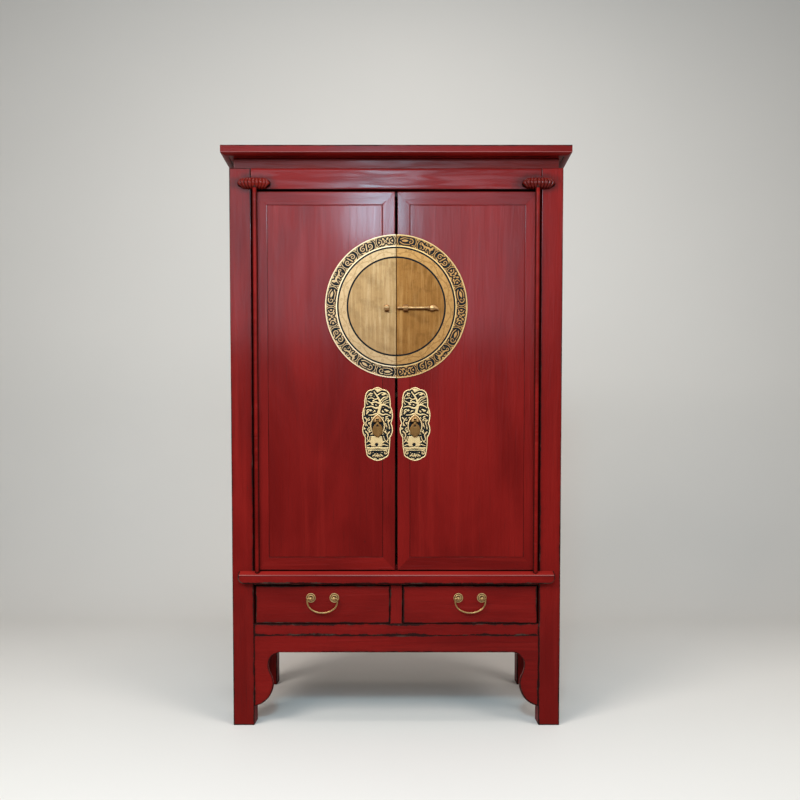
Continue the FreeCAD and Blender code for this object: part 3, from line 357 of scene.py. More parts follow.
def bumpOf(tree, height, distance, strength=1.0):
    return addNode(tree, "Bump", {"Height": height, "Distance": distance, "Strength": strength}).outputs[0]


# Tones from dark to light, the bare ground and the primer under the coats, and how the coats shine and wear
plainLook = dict(deep=(0.118, 0.0036, 0.0027, 1), body=(0.182, 0.0060, 0.0043, 1),
                 bright=(0.245, 0.0115, 0.0078, 1), bare=(0.0125, 0.0055, 0.0042, 1),
                 primer=(0.050, 0.033, 0.024, 1), wear=2.2 * mm, roughness=0.42,
                 coat=0.16, coatRoughness=0.16, specular=0.05, soil=0.55, uneven=0.16)
lacquer = {
    # The frieze look is a darker copy of the red lacquer: painted shade under the cornice's overhang
    "frieze": dict(plainLook, deep=(0.078, 0.0062, 0.0046, 1), body=(0.118, 0.0090, 0.0066, 1),
                   bright=(0.165, 0.0150, 0.0105, 1), wear=1.6 * mm, roughness=0.40, coat=0.09, specular=0.06,
                   soil=0.0, uneven=0.7),
    # The rod's flank is the depth range over which painted shade darkens its sides
    "rod": dict(plainLook, deep=(0.120, 0.0034, 0.0024, 1), body=(0.205, 0.0060, 0.0042, 1),
                bright=(0.300, 0.0130, 0.0080, 1), primer=(0.030, 0.012, 0.009, 1), wear=1.2 * mm,
                roughness=0.38, coat=0.03, soil=0.0, uneven=0.1, flank=(-266.2 * mm, -262.5 * mm)),
    # Carved: its bare and primer tones are near black, and the wear mask lies along the grooves between the
    # boss's ribs, so the grooves get painted shade
    "carved": dict(plainLook, deep=(0.065, 0.0030, 0.0020, 1), body=(0.165, 0.0085, 0.0042, 1),
                   bright=(0.250, 0.0180, 0.0075, 1), bare=(0.006, 0.0022, 0.0018, 1),
                   primer=(0.006, 0.0022, 0.0018, 1), wear=1.3 * mm, roughness=0.30, coat=0.20,
                   coatRoughness=0.06, specular=0.06, soil=0.0, uneven=0.1),
}
soil = dict(x=451 * mm, z=1738 * mm, wide=66 * mm, tall=27 * mm, front=-215 * mm)   # rubbed round each boss


def soilMask(tree, across, deep, up, place):
    # Oval of handled, darkened lacquer round each boss, on the front only
    right = sums(tree, "DIVIDE", minus(tree, sums(tree, "ABSOLUTE", across), soil["x"]), soil["wide"])
    high = sums(tree, "DIVIDE", minus(tree, up, soil["z"]), soil["tall"])
    far = sums(tree, "SQRT", plus(tree, times(tree, right, right), times(tree, high, high)))
    far = plus(tree, far, times(tree, minus(tree, noiseOf(tree, place, 30.0, 4.0, 0.6), 0.5), 1.1))
    shallow = between(tree, deep, soil["front"] + 5 * mm, soil["front"])
    return times(tree, between(tree, far, 1.42, 0.75), shallow)


def makeLacquer(name, look):
    # Brushed lacquer. A look's lines are bands across the piece, painted highlights and painted shade among
    # them: lower and upper level, colour and share.
    material, tree, shader = newMaterial(name, Coat_Roughness=look["coatRoughness"], Coat_IOR=1.5,
                                         Specular_IOR_Level=look["specular"])
    place = attribute(tree, "grainPlace", "Vector")
    spot = addNode(tree, "SeparateXYZ", {0: addNode(tree, "TexCoord").outputs["Object"]}).outputs
    grain = useGroup(tree, woodGrain, {"Place": place})
    # Edges near the floor are rubbed more than those at the head
    width = between(tree, spot[2], 1.3, 0.1, look["wear"] * 0.75, look["wear"] * 1.35)
    wear = useGroup(tree, edgeWear, {"Reach": attribute(tree, "edgeReach"), "Place": place, "Width": width})
    tone = blended(tree, between(tree, grain["Cloud"], 0.32, 0.68), look["deep"], look["body"])
    tone = blended(tree, times(tree, between(tree, grain["Streak"], 0.5, 0.78), 0.5), tone, look["bright"])
    dim = times(tree, between(tree, grain["Streak"], 0.47, 0.22), 0.45)
    tone = blended(tree, dim, tone, look["deep"])
    lines = times(tree, between(tree, grain["Fine"], 0.60, 0.72), 0.30)
    tone = blended(tree, lines, tone, look["bare"])
    nicks = noiseOf(tree, stretched(tree, place, (30.0, 240.0, 240.0)), 1.0, 3.0, 0.7, 1.0)
    nicks = between(tree, nicks, 0.725, 0.76)
    smudge = noiseOf(tree, stretched(tree, place, (9.0, 34.0, 34.0)), 1.0, 5.0, 0.7, 0.6)
    smudge = times(tree, between(tree, smudge, 0.62, 0.78), 0.5)
    grime = sums(tree, "MAXIMUM", smudge, times(tree, wear["Halo"], 0.62))
    tone = blended(tree, grime, tone, look["deep"])
    if look["soil"]:
        rubbed = times(tree, soilMask(tree, spot[0], spot[1], spot[2], place), look["soil"])
        tone = blended(tree, rubbed, tone, look["bare"])
    if "flank" in look:
        # Painted shade darkens both flanks of the rod towards the back, leaving a bright line along its front
        tone = blended(tree, between(tree, spot[1], *look["flank"], 0.0, 0.9), tone, look["bare"])
    matt, lineSoft = 1.0, 0.5 * mm
    # Each band blends in its colour: the painted highlights and painted shade of the looks
    for low, high, shade, share in look.get("lines", ()):
        line = between(tree, spot[2], low - lineSoft, low)
        line = times(tree, line, between(tree, spot[2], high + lineSoft, high))
        line = times(tree, line, between(tree, grain["Streak"], 0.30, 0.60, share * 0.45, share))
        tone = blended(tree, line, tone, shade)
        if look.get("matt"):
            matt = minus(tree, 1.0, line)
    worn = sums(tree, "MAXIMUM", wear["Bare"], times(tree, nicks, 0.8))
    under = blended(tree, wear["Primer"], look["bare"], look["primer"])
    tone = blended(tree, times(tree, worn, 0.93), tone, under)
    rough = between(tree, grain["Cloud"], 0.3, 0.7, look["roughness"] - 0.04, look["roughness"] + 0.05)
    rough = plus(tree, rough, times(tree, worn, 0.16))
    # The sheen is uneven, and has gone from the lower part
    coat = between(tree, spot[2], 0.75, 1.35, look["coat"] * 0.3, look["coat"])
    uneven = look["uneven"]
    coat = times(tree, coat, between(tree, grain["Ripple"], 0.34, 0.66, 1 - uneven, 1 + uneven))
    coat = times(tree, coat, between(tree, grain["Streak"], 0.30, 0.70, 0.85, 1.15))
    coat = times(tree, times(tree, minus(tree, 1.0, times(tree, worn, 0.7)), coat), matt)
    height = plus(tree, grain["Streak"], times(tree, grain["Fine"], 0.10))
    height = plus(tree, height, times(tree, grain["Ripple"], 3.2))
    height = minus(tree, height, times(tree, worn, 0.5))
    feed(tree, shader, Base_Color=tone, Roughness=rough, Coat_Weight=coat,
         Normal=bumpOf(tree, height, 1.1 * mm, 0.7))
    return material


def makeInnerWood(name, ofBoard):
    # Unlacquered softwood inside the case, toned by age. Its grain follows the board, or else the x axis.
    material, tree, shader = newMaterial(name, Roughness=0.7, Specular_IOR_Level=0.2)
    if ofBoard:
        place = attribute(tree, "grainPlace", "Vector")
    else:
        place = addNode(tree, "TexCoord").outputs["Object"]
    grain = useGroup(tree, woodGrain, {"Place": place})
    rings = noiseOf(tree, stretched(tree, place, (3.0, 70.0, 70.0)), 1.0, 4.0, 0.55, 1.5)
    tone = blended(tree, between(tree, rings, 0.35, 0.65), (0.062, 0.026, 0.011, 1), (0.115, 0.051, 0.021, 1))
    for mask, low, high, share, shade in (("Fine", 0.5, 0.7, 0.5, (0.036, 0.015, 0.007, 1)),
                                          ("Cloud", 0.45, 0.75, 0.45, (0.042, 0.017, 0.008, 1))):
        tone = blended(tree, times(tree, between(tree, grain[mask], low, high), share), tone, shade)
    feed(tree, shader, Base_Color=tone, Normal=bumpOf(tree, grain["Fine"], 0.2 * mm, 0.5))
    return material


# From the rubbed to the tarnished metal, the blackened ground, the polished rim, and how streaky the sheet is
ground = (0.004, 0.005, 0.006, 1)
brass = {
    # The left and right plate brasses are lit and shaded copies of one brass: the left half is painted paler
    # as a painted reflection, the right half darker as painted shade
    "left": dict(light=(0.465, 0.272, 0.136, 1), body=(0.275, 0.136, 0.053, 1), dull=(0.168, 0.078, 0.028, 1),
                 dark=ground, shine=(0.84, 0.59, 0.37, 1), streak=0.26),
    "right": dict(light=(0.40, 0.185, 0.060, 1), body=(0.196, 0.071, 0.016, 1), dull=(0.112, 0.038, 0.008, 1),
                  dark=ground, shine=(0.68, 0.42, 0.18, 1), streak=0.36),
    "pull": dict(light=(0.60, 0.370, 0.165, 1), body=(0.350, 0.190, 0.075, 1), dull=(0.200, 0.100, 0.035, 1),
                 dark=ground, shine=(0.86, 0.57, 0.28, 1), streak=0.2),
    "drop": dict(light=(0.29, 0.140, 0.046, 1), body=(0.170, 0.073, 0.021, 1), dull=(0.083, 0.033, 0.009, 1),
                 dark=(0.008, 0.006, 0.005, 1), shine=(0.45, 0.25, 0.10, 1), streak=0.2),
    "rose": dict(light=(0.62, 0.39, 0.17, 1), body=(0.41, 0.226, 0.082, 1), dull=(0.19, 0.092, 0.032, 1),
                 dark=(0.010, 0.006, 0.004, 1), shine=(0.78, 0.51, 0.24, 1), streak=0.1),
    "copper": dict(light=(0.66, 0.38, 0.170, 1), body=(0.46, 0.240, 0.095, 1), dull=(0.15, 0.066, 0.025, 1)),
}


def makeEngravedBrass(name, look):
    # Sheet brass: raised ornament stays bright and the ground is blackened. "relief" goes from 0 to 1.
    material, tree, shader = newMaterial(name, Specular_IOR_Level=0.12)
    place = addNode(tree, "TexCoord").outputs["Object"]
    patina = useGroup(tree, brassPatina, {"Place": place})
    streaks = noiseOf(tree, stretched(tree, place, (95.0, 60.0, 6.5)), 1.0, 5.0, 0.66, 0.3)
    tone = blended(tree, between(tree, patina["Cloud"], 0.16, 0.62), look["dull"], look["body"])
    tone = blended(tree, times(tree, between(tree, streaks, 0.44, 0.74), 0.42), tone, look["light"])
    tone = blended(tree, times(tree, between(tree, streaks, 0.50, 0.30), look["streak"]), tone, look["dull"])
    # Rubbed metal is brightened here, and on the hood a faint painted highlight
    rubbed, engraved = attribute(tree, "polish"), attribute(tree, "engraved")
    tone = blended(tree, times(tree, rubbed, 0.8), tone, look["light"])
    tone = blended(tree, between(tree, rubbed, 0.95, 1.2), tone, look["shine"])
    tone = blended(tree, times(tree, patina["Spots"], 0.5), tone, look["dull"])
    tone = blended(tree, times(tree, engraved, 0.5), tone, look["dull"])
    black = between(tree, attribute(tree, "relief"), 0.56, 0.40)
    rough = plus(tree, between(tree, patina["Rub"], 0.3, 0.7, 0.45, 0.55), times(tree, black, 0.2))
    height = plus(tree, times(tree, streaks, 0.6), times(tree, patina["Cloud"], 0.8))
    height = minus(tree, height, times(tree, engraved, 0.6))
    feed(tree, shader, Base_Color=blended(tree, black, tone, look["dark"]), Roughness=rough,
         Metallic=minus(tree, 0.88, times(tree, black, 0.86)), Normal=bumpOf(tree, height, 0.3 * mm, 0.5))
    return material


def makeAgedBrass(name, look):
    material, tree, shader = newMaterial(name)
    place = addNode(tree, "TexCoord").outputs["Object"]
    patina = useGroup(tree, brassPatina, {"Place": place, "Scale": 2.2})
    tone = blended(tree, between(tree, patina["Cloud"], 0.3, 0.62), look["dull"], look["body"])
    tone = blended(tree, between(tree, patina["Rub"], 0.5, 0.72), tone, look["light"])
    tone = blended(tree, times(tree, patina["Spots"], 0.7), tone, look["dull"])
    feed(tree, shader, Base_Color=tone, Metallic=between(tree, patina["Cloud"], 0.25, 0.7, 0.78, 0.97),
         Roughness=between(tree, patina["Rub"], 0.3, 0.7, 0.30, 0.44),
         Normal=bumpOf(tree, patina["Cloud"], 0.25 * mm, 0.6))
    return material


redLacquer = makeLacquer("redLacquer", plainLook)
friezeShadeLacquer, rodLacquer, carvedLacquer = (makeLacquer(kind + "Lacquer", look)
                                            for kind, look in lacquer.items())
innerWood, panelWood = makeInnerWood("innerWood", False), makeInnerWood("panelWood", True)
discBrassLitAndShaded = {side: makeEngravedBrass(side + "PlateBrass", brass[side]) for side, sign in sides}
pullBrass, dropBrass, roseBrass = (makeEngravedBrass(kind + "Brass", brass[kind])
                                   for kind in ("pull", "drop", "rose"))
fittingBrass = makeAgedBrass("fittingBrass", brass["rose"])
copperBrass = makeAgedBrass("copperBrass", brass["copper"])
print("materials made")


# Case

for side, sign in sides:
    for end in ("front", "rear"):
        node = "%s_%s_post" % (end, side)
        makePiece(node, "board", [boxBoard(*boxOf(node), soft=1.5 * mm)])

postInner, postRear = boxOf("front_right_post")[0][0], boxOf("front_right_post")[1][1]
rearPostFront = boxOf("rear_right_post")[0][1]
railFoot, waistFoot = boxOf("top_back_rail")[0][2], boxOf("mid_back_rail")[0][2]
stopGap = 0.5 * mm
# Painted shade: the lower edge of the rail over the doors and the stop behind them are painted black in the
# door gap, and dull
railLacquer = makeLacquer("railLacquer", dict(plainLook, uneven=0.6, matt=True, lines=(
    (railFoot - 40 * mm, railFoot + 1.6 * mm, (0.006, 0.002, 0.002, 1), 1.0),)))


def railBox(node):
    # A rail from post to post, without its tenons
    low, high = boxOf(node)
    low[0], high[0] = -postInner, postInner
    return low, high


def stopBoard(low, high, foot, head):
    # The part of a rail that reaches behind the doors, which is what sticks out below foot or above head
    low, high = low.copy(), high.copy()
    low[1] = boxOf("left_outer_stile")[1][1] + stopGap
    if low[2] < foot:
        high[2] = foot
    else:
        low[2] = head
    return boxBoard(low, high, "x", keen=9.0)


def makeFrontRails():
    for name, twin, soft, keen, material in (("top", "top_front_rail", 2.0 * mm, 2.2, railLacquer),
                                             ("mid", "mid_back_rail", 1.2 * mm, 1.0, None)):
        low, high = railBox(name + "_front_rail")
        foot, head = railFoot if name == "top" else waistFoot, boxOf(twin)[1][2]
        parts = [stopBoard(low, high, foot, head)]
        low[2], high[2] = foot, head
        parts.append(boxBoard(low, high, "x", soft=soft, keen=keen))
        makePiece(name + "_front_rail", "board", parts, material)
    makePiece("lower_front_rail", "board", [boxBoard(*railBox("lower_front_rail"), "x", keen=0.62)])


def pairBoards(low, high, thick, **given):
    # Two boards that run along y, one inside each side of a box
    return [boxBoard((x, *low[1:]), (x + thick, *high[1:]), "y", "x", **given)
            for x in (low[0], high[0] - thick)]


def makeRearAndSideRails():
    for name in ("top", "mid", "lower"):
        makePiece(name + "_back_rail", "board", [boxBoard(*railBox(name + "_back_rail"), "x")])
    thick = np.ptp(boxOf("top_back_rail"), axis=0)[1]
    for name in ("top", "mid", "lower"):
        low, high = boxOf(name + "_side_rails")
        low[1], high[1] = postRear, rearPostFront
        makePiece(name + "_side_rails", "board", pairBoards(low, high, thick))


def makePanels():
    # The face of a panel that looks into the case was never lacquered
    for node, grain, inward in (("left_side_panel", "z", (1, 0, 0)), ("right_side_panel", "z", (-1, 0, 0)),
                                ("back_panel", "z", (0, -1, 0)), ("lower_back_panel", "x", (0, -1, 0))):
        face = "x" if inward[0] else "y"
        piece = makePiece(node, "board", [boxBoard(*boxOf(node), grain, face, keen=2.0)])
        piece.data.materials.append(panelWood)
        for polygon in piece.data.polygons:
            polygon.material_index = int(np.dot(polygon.normal, inward) > 0.9)
    thick = np.ptp(boxOf("left_side_panel"), axis=0)[0]
    makePiece("lower_side_panels", "board", pairBoards(*boxOf("lower_side_panels"), thick, keen=2.0))


makeFrontRails()
makeRearAndSideRails()
makePanels()
for node in ("case_floor", "shelf", "shelf_cleats", "drawer_runners"):
    keepSolid(node, innerWood)
low, high = boxOf("drawer_divider")
low[2], high[2] = boxOf("lower_front_rail")[1][2], waistFoot
makePiece("drawer_divider", "board", [boxBoard(low, high)])
print("case made")


# Head: frieze, cornice and top

cornice = dict(fascia=22 * mm, step=22 * mm, member=95 * mm, bulge=2.8 * mm, friezeThick=30 * mm,
               rebate=8 * mm, bow=0.3 * mm)
fasciaFoot = boxOf("cornice_frame")[1][2] - cornice["fascia"]
# A pale band along the fascia's lower edge is a painted highlight
corniceLacquer = makeLacquer("corniceLacquer", dict(plainLook, lines=(
    (fasciaFoot - 0.4 * mm, fasciaFoot + 0.8 * mm, (0.42, 0.17, 0.15, 1), 0.7),)))


def frameMembers(low, high):
    # The four sides of a mitred frame: start corner, run, and the way inwards
    (x0, y0), (x1, y1) = low[:2], high[:2]
    return (((x0, y0), (x1 - x0, 0), (0, 1)), ((x1, y0), (0, y1 - y0), (-1, 0)),
            ((x1, y1), (x0 - x1, 0), (0, -1)), ((x0, y1), (0, y0 - y1), (1, 0)))


def makeFrieze():
    low, high = boxOf("frieze_boards")
    parts = [boardPart((*start, low[2]), (*run, 0), np.array((*inward, 0)) * cornice["friezeThick"],
                       (0, 0, high[2] - low[2]), mitres=(1, 1))
             for start, run, inward in frameMembers(low, high)]
    makePiece("frieze_boards", "set", parts, friezeShadeLacquer)


def profileMember(profile, start, run, inward, reach):
    # A closed profile of (inwards, up) rows carried along a run. Its ends are mitred.
    start, run, inward = (np.asarray(value, float) for value in (start, run, inward))
    length = np.linalg.norm(run)
    way = run / length
    base = start + profile[:, :1] * inward + profile[:, 1:] * along["z"]
    first, last = base + profile[:, :1] * way, base + run - profile[:, :1] * way
    marks = marksAlong(length, 1.0 * mm)
    rings = first + (last - first) * (marks / length)[:, None, None]
    waves = wavesAlong(marks, 0.052, 0.15, 0.021)
    # Worn edges only lose height, so the member keeps within its node's box
    loss = np.clip(1 - reach / edgeMarks[-1], 0, 1) * cornice["bow"]
    loss = np.where(profile[:, 1] > profile[:, 1].mean(), -loss, loss)
    rings += (np.abs(waves)[:, None] * loss)[:, :, None] * along["z"]
    return ringsPart(rings, reach, stacked(marks[:, None], runOf(profile), 0) + seedPlace())


def denseProfile(corners, soft=1.3 * mm):
    # Closed outline: every corner loses a little, and long sides get rows of points beside their ends
    corners = np.asarray(corners, float)
    after = np.roll(corners, -1, 0)
    rows, reach = [], []
    for here, there in zip(corners, after):
        length = np.linalg.norm(there - here)
        cut = min(soft, length * 0.3)
        marks = np.array([0, *edgeMarks[(edgeMarks > cut) & (edgeMarks < length * 0.45)]])
        marks[0] = cut
        marks = np.concatenate([marks, [length / 2], (length - marks)[::-1]])
        rows.append(here + (there - here) * (marks / length)[:, None])
        reach.append(np.minimum(marks, length - marks) - cut)
    return np.concatenate(rows), np.concatenate(reach)


def makeCornice():
    low, high = boxOf("cornice_frame")
    tall = high[2] - low[2]
    foot = tall - cornice["fascia"]
    # Underside: a quarter swell from the fascia's lower edge in to the frieze
    share = np.linspace(0, 1, 9)[1:-1]
    step, inner = cornice["step"], cornice["member"]
    bulge = 4 * share * (1 - share) * cornice["bulge"] / math.hypot(foot, step)
    curve = stacked(step * share - foot * bulge, foot * (1 - share) - step * bulge)
    ledge, rebate = boxOf("top_panel")[0][2] - low[2], inner - cornice["rebate"]
    shoulder, neck = np.array([[0, foot]]), np.array([[step, 0.0]])
    outer, outerReach = denseProfile([(0, foot), (0, tall), (rebate, tall), (rebate, ledge), (inner, ledge),
                                      (inner, 0), neck[0]])
    # The last side, from the neck back to the shoulder, is the swell
    keep = len(outer) - len(denseProfile([(0, 0), (1, 0)])[0]) // 2
    outer, outerReach = outer[:keep], outerReach[:keep]
    swell = np.concatenate([neck + [[0, 0.4 * mm]], curve[::-1], shoulder - [[0, 0.8 * mm]]])
    swellReach = np.minimum(np.linalg.norm(swell - shoulder, axis=1), np.linalg.norm(swell - neck, axis=1))
    profile = np.concatenate([outer, swell])
    reach = np.concatenate([outerReach, swellReach])
    # Only the upper edge is worn: the lower one is a soft round
    lower = np.clip(np.linalg.norm(profile - shoulder, axis=1) / (8 * mm), 0, 1)
    reach = np.where(lower < 1, np.maximum(reach, 14 * mm * (1 - lower) + 6 * mm), reach)
    parts = [profileMember(profile, (*start, low[2]), (*run, 0), (*inward, 0), reach)
             for start, run, inward in frameMembers(low, high)]
    makePiece("cornice_frame", "set", parts, corniceLacquer, crease=55)
    makePiece("top_panel", "board", [boxBoard(*boxOf("top_panel"), "x", "z", keen=2.0)])


makeFrieze()
makeCornice()
print("head made")


# Waist moulding

waist = dict(slope=10.5 * mm, nose=3 * mm, endRound=20 * mm, soft=1.8 * mm, bow=0.35 * mm)
waistLip = boxOf("waist_moulding")[1][2] - waist["slope"]
# Painted light on the moulding: its slope is painted a paler red where it faces up to the light, its front
# edge carries a pale painted highlight, and a dark band lies just under that edge
waistLacquer = makeLacquer("waistLacquer", dict(plainLook, lines=(
    (waistLip + 1.6 * mm, waistLip + 12 * mm, (0.29, 0.015, 0.011, 1), 0.7),
    (waistLip - 0.5 * mm, waistLip + 0.5 * mm, (0.48, 0.20, 0.17, 1), 0.7),
    (waistLip - 3.6 * mm, waistLip - 1.8 * mm, (0.030, 0.006, 0.005, 1), 0.9))))


def makeWaist():
    # Section (out, up) with a sloping top. Towards each end its lower edge lifts along a quarter circle.
    low, high = boxOf("waist_moulding")
    reach, tall = high[1] - low[1], high[2] - low[2]
    lip, radius, half = tall - waist["slope"], waist["endRound"], (high[0] - low[0]) / 2
    marks = np.concatenate([half - radius + radius * np.sin(np.linspace(math.pi / 2, 0, 15)),
                            np.linspace(half - radius, 0, 14)[1:]])
    marks = np.concatenate([-marks, marks[::-1][1:]])
    over = np.clip(np.abs(marks) - (half - radius), 0, radius)
    lift = radius - np.sqrt(np.maximum(radius ** 2 - over ** 2, 0))
    lift = np.minimum(lift, tall - 0.1 * mm)
    soft = waist["soft"]
    nose = [(reach - waist["nose"] * (1 - math.cos(a)), waist["nose"] * (1 - math.sin(a)))
            for a in np.linspace(math.pi / 2, 0, 5)]
    front = [(reach, z) for z in np.linspace(waist["nose"], lip - soft, 6)[1:]]
    top = [(reach - soft, lip + soft * 0.35)] + [(reach * (1 - t), lip + (tall - lip) * t)
                                                  for t in (0.2, 0.4, 0.7, 0.97)]
    under = [(reach * t, 0.0) for t in (0.0, 0.3, 0.6, 0.8)]
    profile = np.array(under + nose + front + top + [(0.0, tall)])
    near = np.linalg.norm(profile - (reach, 0.5 * mm), axis=1)
    up = np.maximum(profile[None, :, 1], lift[:, None])
    wave = np.abs(wavesAlong(marks, 0.047, 0.13, 0.3))[:, None] * waist["bow"]
    out = profile[:, 0] - wave * (profile[:, 0] > reach * 0.8)
    rings = stacked(marks[:, None], high[1] - out, low[2] + up)
    endReach = (half - np.abs(marks))[:, None]
    toLift = np.where(lift[:, None] > 0, np.abs(up - lift[:, None]), near)
    near = np.minimum(np.minimum(near, toLift), endReach)
    grain = stacked(marks[:, None], runOf(profile), 0) + seedPlace()
    makePiece("waist_moulding", "bar", [ringsPart(rings, near, grain)], waistLacquer, crease=50)


makeWaist()


# Aprons

apron = dict(height=56 * mm, cove=42 * mm, neck=45 * mm, lobe=61 * mm, swell=63 * mm, drop=71 * mm,
             soft=1.5 * mm)


def arcBetween(first, last, radius, bend, count):
    # Points of a circular arc between two points, bending to the left for bend 1 and to the right for -1
    first, last = np.asarray(first, float), np.asarray(last, float)
    chord = last - first
    span = np.linalg.norm(chord)
    radius = max(radius, span / 2)
    normal = np.array([-chord[1], chord[0]]) / span
    sag = math.sqrt(max(radius ** 2 - span ** 2 / 4, 0))
    centre = (first + last) / 2 + normal * sag * bend
    a = math.atan2(*(first - centre)[::-1])
    b = math.atan2(*(last - centre)[::-1])
    sweep = (b - a + math.pi) % turn - math.pi
    angle = a + sweep * np.linspace(0, 1, count)
    return centre + radius * stacked(np.cos(angle), np.sin(angle))


def apronContour(width, high, foot):
    # Free edge of half an apron, from the foot of the bracket up and along to the middle, and the same
    # number of points along the post and the rail that carry it.
    low = high - apron["height"]
    neckZ = low - apron["cove"]
    lobeZ = neckZ - apron["swell"]
    lean, rise = (apron["lobe"] - apron["neck"]) / 2, apron["swell"] / 2
    radius, tip = ((x ** 2 + z ** 2) / (2 * x) for x, z in ((lean, rise), (apron["lobe"], apron["drop"])))
    spots = [(0, foot), (apron["lobe"], lobeZ), (apron["lobe"] - lean, lobeZ + rise), (apron["neck"], neckZ),
             (apron["neck"] + apron["cove"], low)]
    lobe = arcBetween(spots[0], spots[1], tip, 1, 16)
    belly = arcBetween(spots[1], spots[2], radius, 1, 10)[1:]
    neck = arcBetween(spots[2], spots[3], radius, -1, 10)[1:]
    cove = arcBetween(spots[3], spots[4], apron["cove"], -1, 16)[1:]
    free = np.concatenate([lobe, belly, neck, cove])
    flat = stacked(np.linspace(spots[4][0], width / 2, 12)[1:], low)
    corner = len(free) - 8
    rising = runOf(free)[:corner]
    post = stacked(0, foot + (high - foot) * rising / rising[-1])
    rail = stacked(free[corner - 1:, 0] * np.linspace(0, 1, len(free) - corner + 1), high)[1:]
    held = np.concatenate([post, rail, stacked(flat[:, 0], high)])
    return np.concatenate([free, flat]), held


def apronPart(origin, across, inward, width, high, foot, thick):
    # The board between its free edge and its held edge, as rounded sections from one foot to the other
    free, held = apronContour(width, high, foot)
    mirrored = [np.stack([width - edge[::-1, 0], edge[::-1, 1]], 1)[1:] for edge in (free, held)]
    free, held = np.concatenate([free, mirrored[0]]), np.concatenate([held, mirrored[1]])
    soft = apron["soft"]
    span = np.linalg.norm(held - free, axis=1)
    # Section from the free edge over the front, round the held edge and home over the back: how far in
    # from the free edge (or, if negative, from the held edge), and how deep
    front = [(soft * 0.29, soft * 0.29), (soft, 0.0), *((mark, 0.0) for mark in edgeMarks)]
    front += [(-mark, 0.0) for mark in edgeMarks[::-1]] + [(-0.6 * mm, 0.0), (-0.01 * mm, 0.6 * mm)]
    ring = front + [(mark, thick - level) for mark, level in front[::-1]]
    ring += [(0.0, thick - soft), (0.0, thick / 2), (0.0, soft)]
    ways = (held - free) / np.maximum(span, 1 * mm)[:, None]
    rings, reach = [], []
    for mark, level in ring:
        far = np.minimum(mark, span * 0.45) if mark >= 0 else span + np.maximum(mark, -span * 0.45)
        spot = free + ways * far[:, None]
        rings.append(np.asarray(origin) + spot[:, :1] * across + spot[:, 1:] * along["z"] + level * inward)
        reach.append(np.minimum(far, span - far) if mark else np.full(len(free), min(level, thick - level)))
    rings, reach = np.stack(rings, 1), np.stack(reach, 1)
    flat = rings - np.asarray(origin)
    return ringsPart(rings, reach, stacked(flat @ across, flat[..., 2], flat @ inward) + seedPlace())


def makeAprons():
    for node, face, across, inward in (("front_apron", 0, along["x"], along["y"]),
                                       ("left_apron", 0, along["y"], along["x"]),
                                       ("right_apron", 1, along["y"], -along["x"])):
        low, high = boxOf(node)
        start, size = (boxOf(node)[face][0], low[1], 0), high - low
        part = apronPart(start, across, inward, size @ across, high[2], low[2], size @ np.abs(inward))
        makePiece(node, "board", [part], crease=60)


makeAprons()
print("waist and aprons made")


# Doors

door = dict(joint=0.30 * mm, soft=0.15 * mm, panelGap=0.26 * mm, panelThick=12 * mm, batten=40 * mm,
            rail=42 * mm, keen=5.0, panelBow=0.05 * mm, panelKeen=9.0)


def makeDoorWood(side, sign):
    # Stiles and rails mitred at the corners with fine joints, two battens, and a flush panel
    body = side + "_door"
    outer, meeting = boxOf(side + "_outer_stile"), boxOf(side + "_meeting_stile")
    foot, head = outer[0][2], outer[1][2]
    front, thick = outer[0][1], outer[1][1] - outer[0][1]
    outX, inX = (outer[0][0], meeting[1][0]) if sign < 0 else (outer[1][0], meeting[0][0])
    outWidth, inWidth = outer[1][0] - outer[0][0], meeting[1][0] - meeting[0][0]
    rail, gap, deep = door["rail"], door["joint"], (0, thick, 0)
    fieldFoot, fieldHead = foot + rail, head - rail
    fine = dict(soft=door["soft"], keen=door["keen"])
    for name, x, width, way in (("outer", outX, outWidth, -sign), ("meeting", inX, inWidth, sign)):
        stile = boardPart((x, front, foot), (0, 0, head - foot), (way * (width - gap), 0, 0), deep,
                          (rail / width, rail / width), **fine)
        makePiece("%s_%s_stile" % (side, name), "board", [stile], body=body, crease=30)
    run = (sign * abs(outX - inX), 0, 0)
    mitres = (inWidth / rail, outWidth / rail)
    parts = [boardPart((inX, front, z), run, (0, 0, way * (rail - gap)), deep, mitres, **fine)
             for z, way in ((foot, 1), (head, -1))]
    innerX = sorted((inX + sign * inWidth, outX - sign * outWidth))
    for step in (1, 2):
        middle = fieldFoot + (fieldHead - fieldFoot) * step / 3
        parts.append(boxBoard((innerX[0], front + door["panelThick"], middle - door["batten"] / 2),
                              (innerX[1], front + thick, middle + door["batten"] / 2), "x"))
    makePiece(side + "_door_rails", "set", parts, body=body, crease=30)
    panel, gap = boxOf(side + "_door_panel"), door["panelGap"]
    board = boxBoard((innerX[0] + gap, panel[0][1], fieldFoot + gap),
                     (innerX[1] - gap, panel[1][1], fieldHead - gap),
                     soft=door["soft"], bow=door["panelBow"], keen=door["panelKeen"])
    makePiece(side + "_door_panel", "board", [board], body=body, crease=30)


rod = dict(pivot=5 * mm, pin=9 * mm, soft=1 * mm, bow=0.24 * mm)


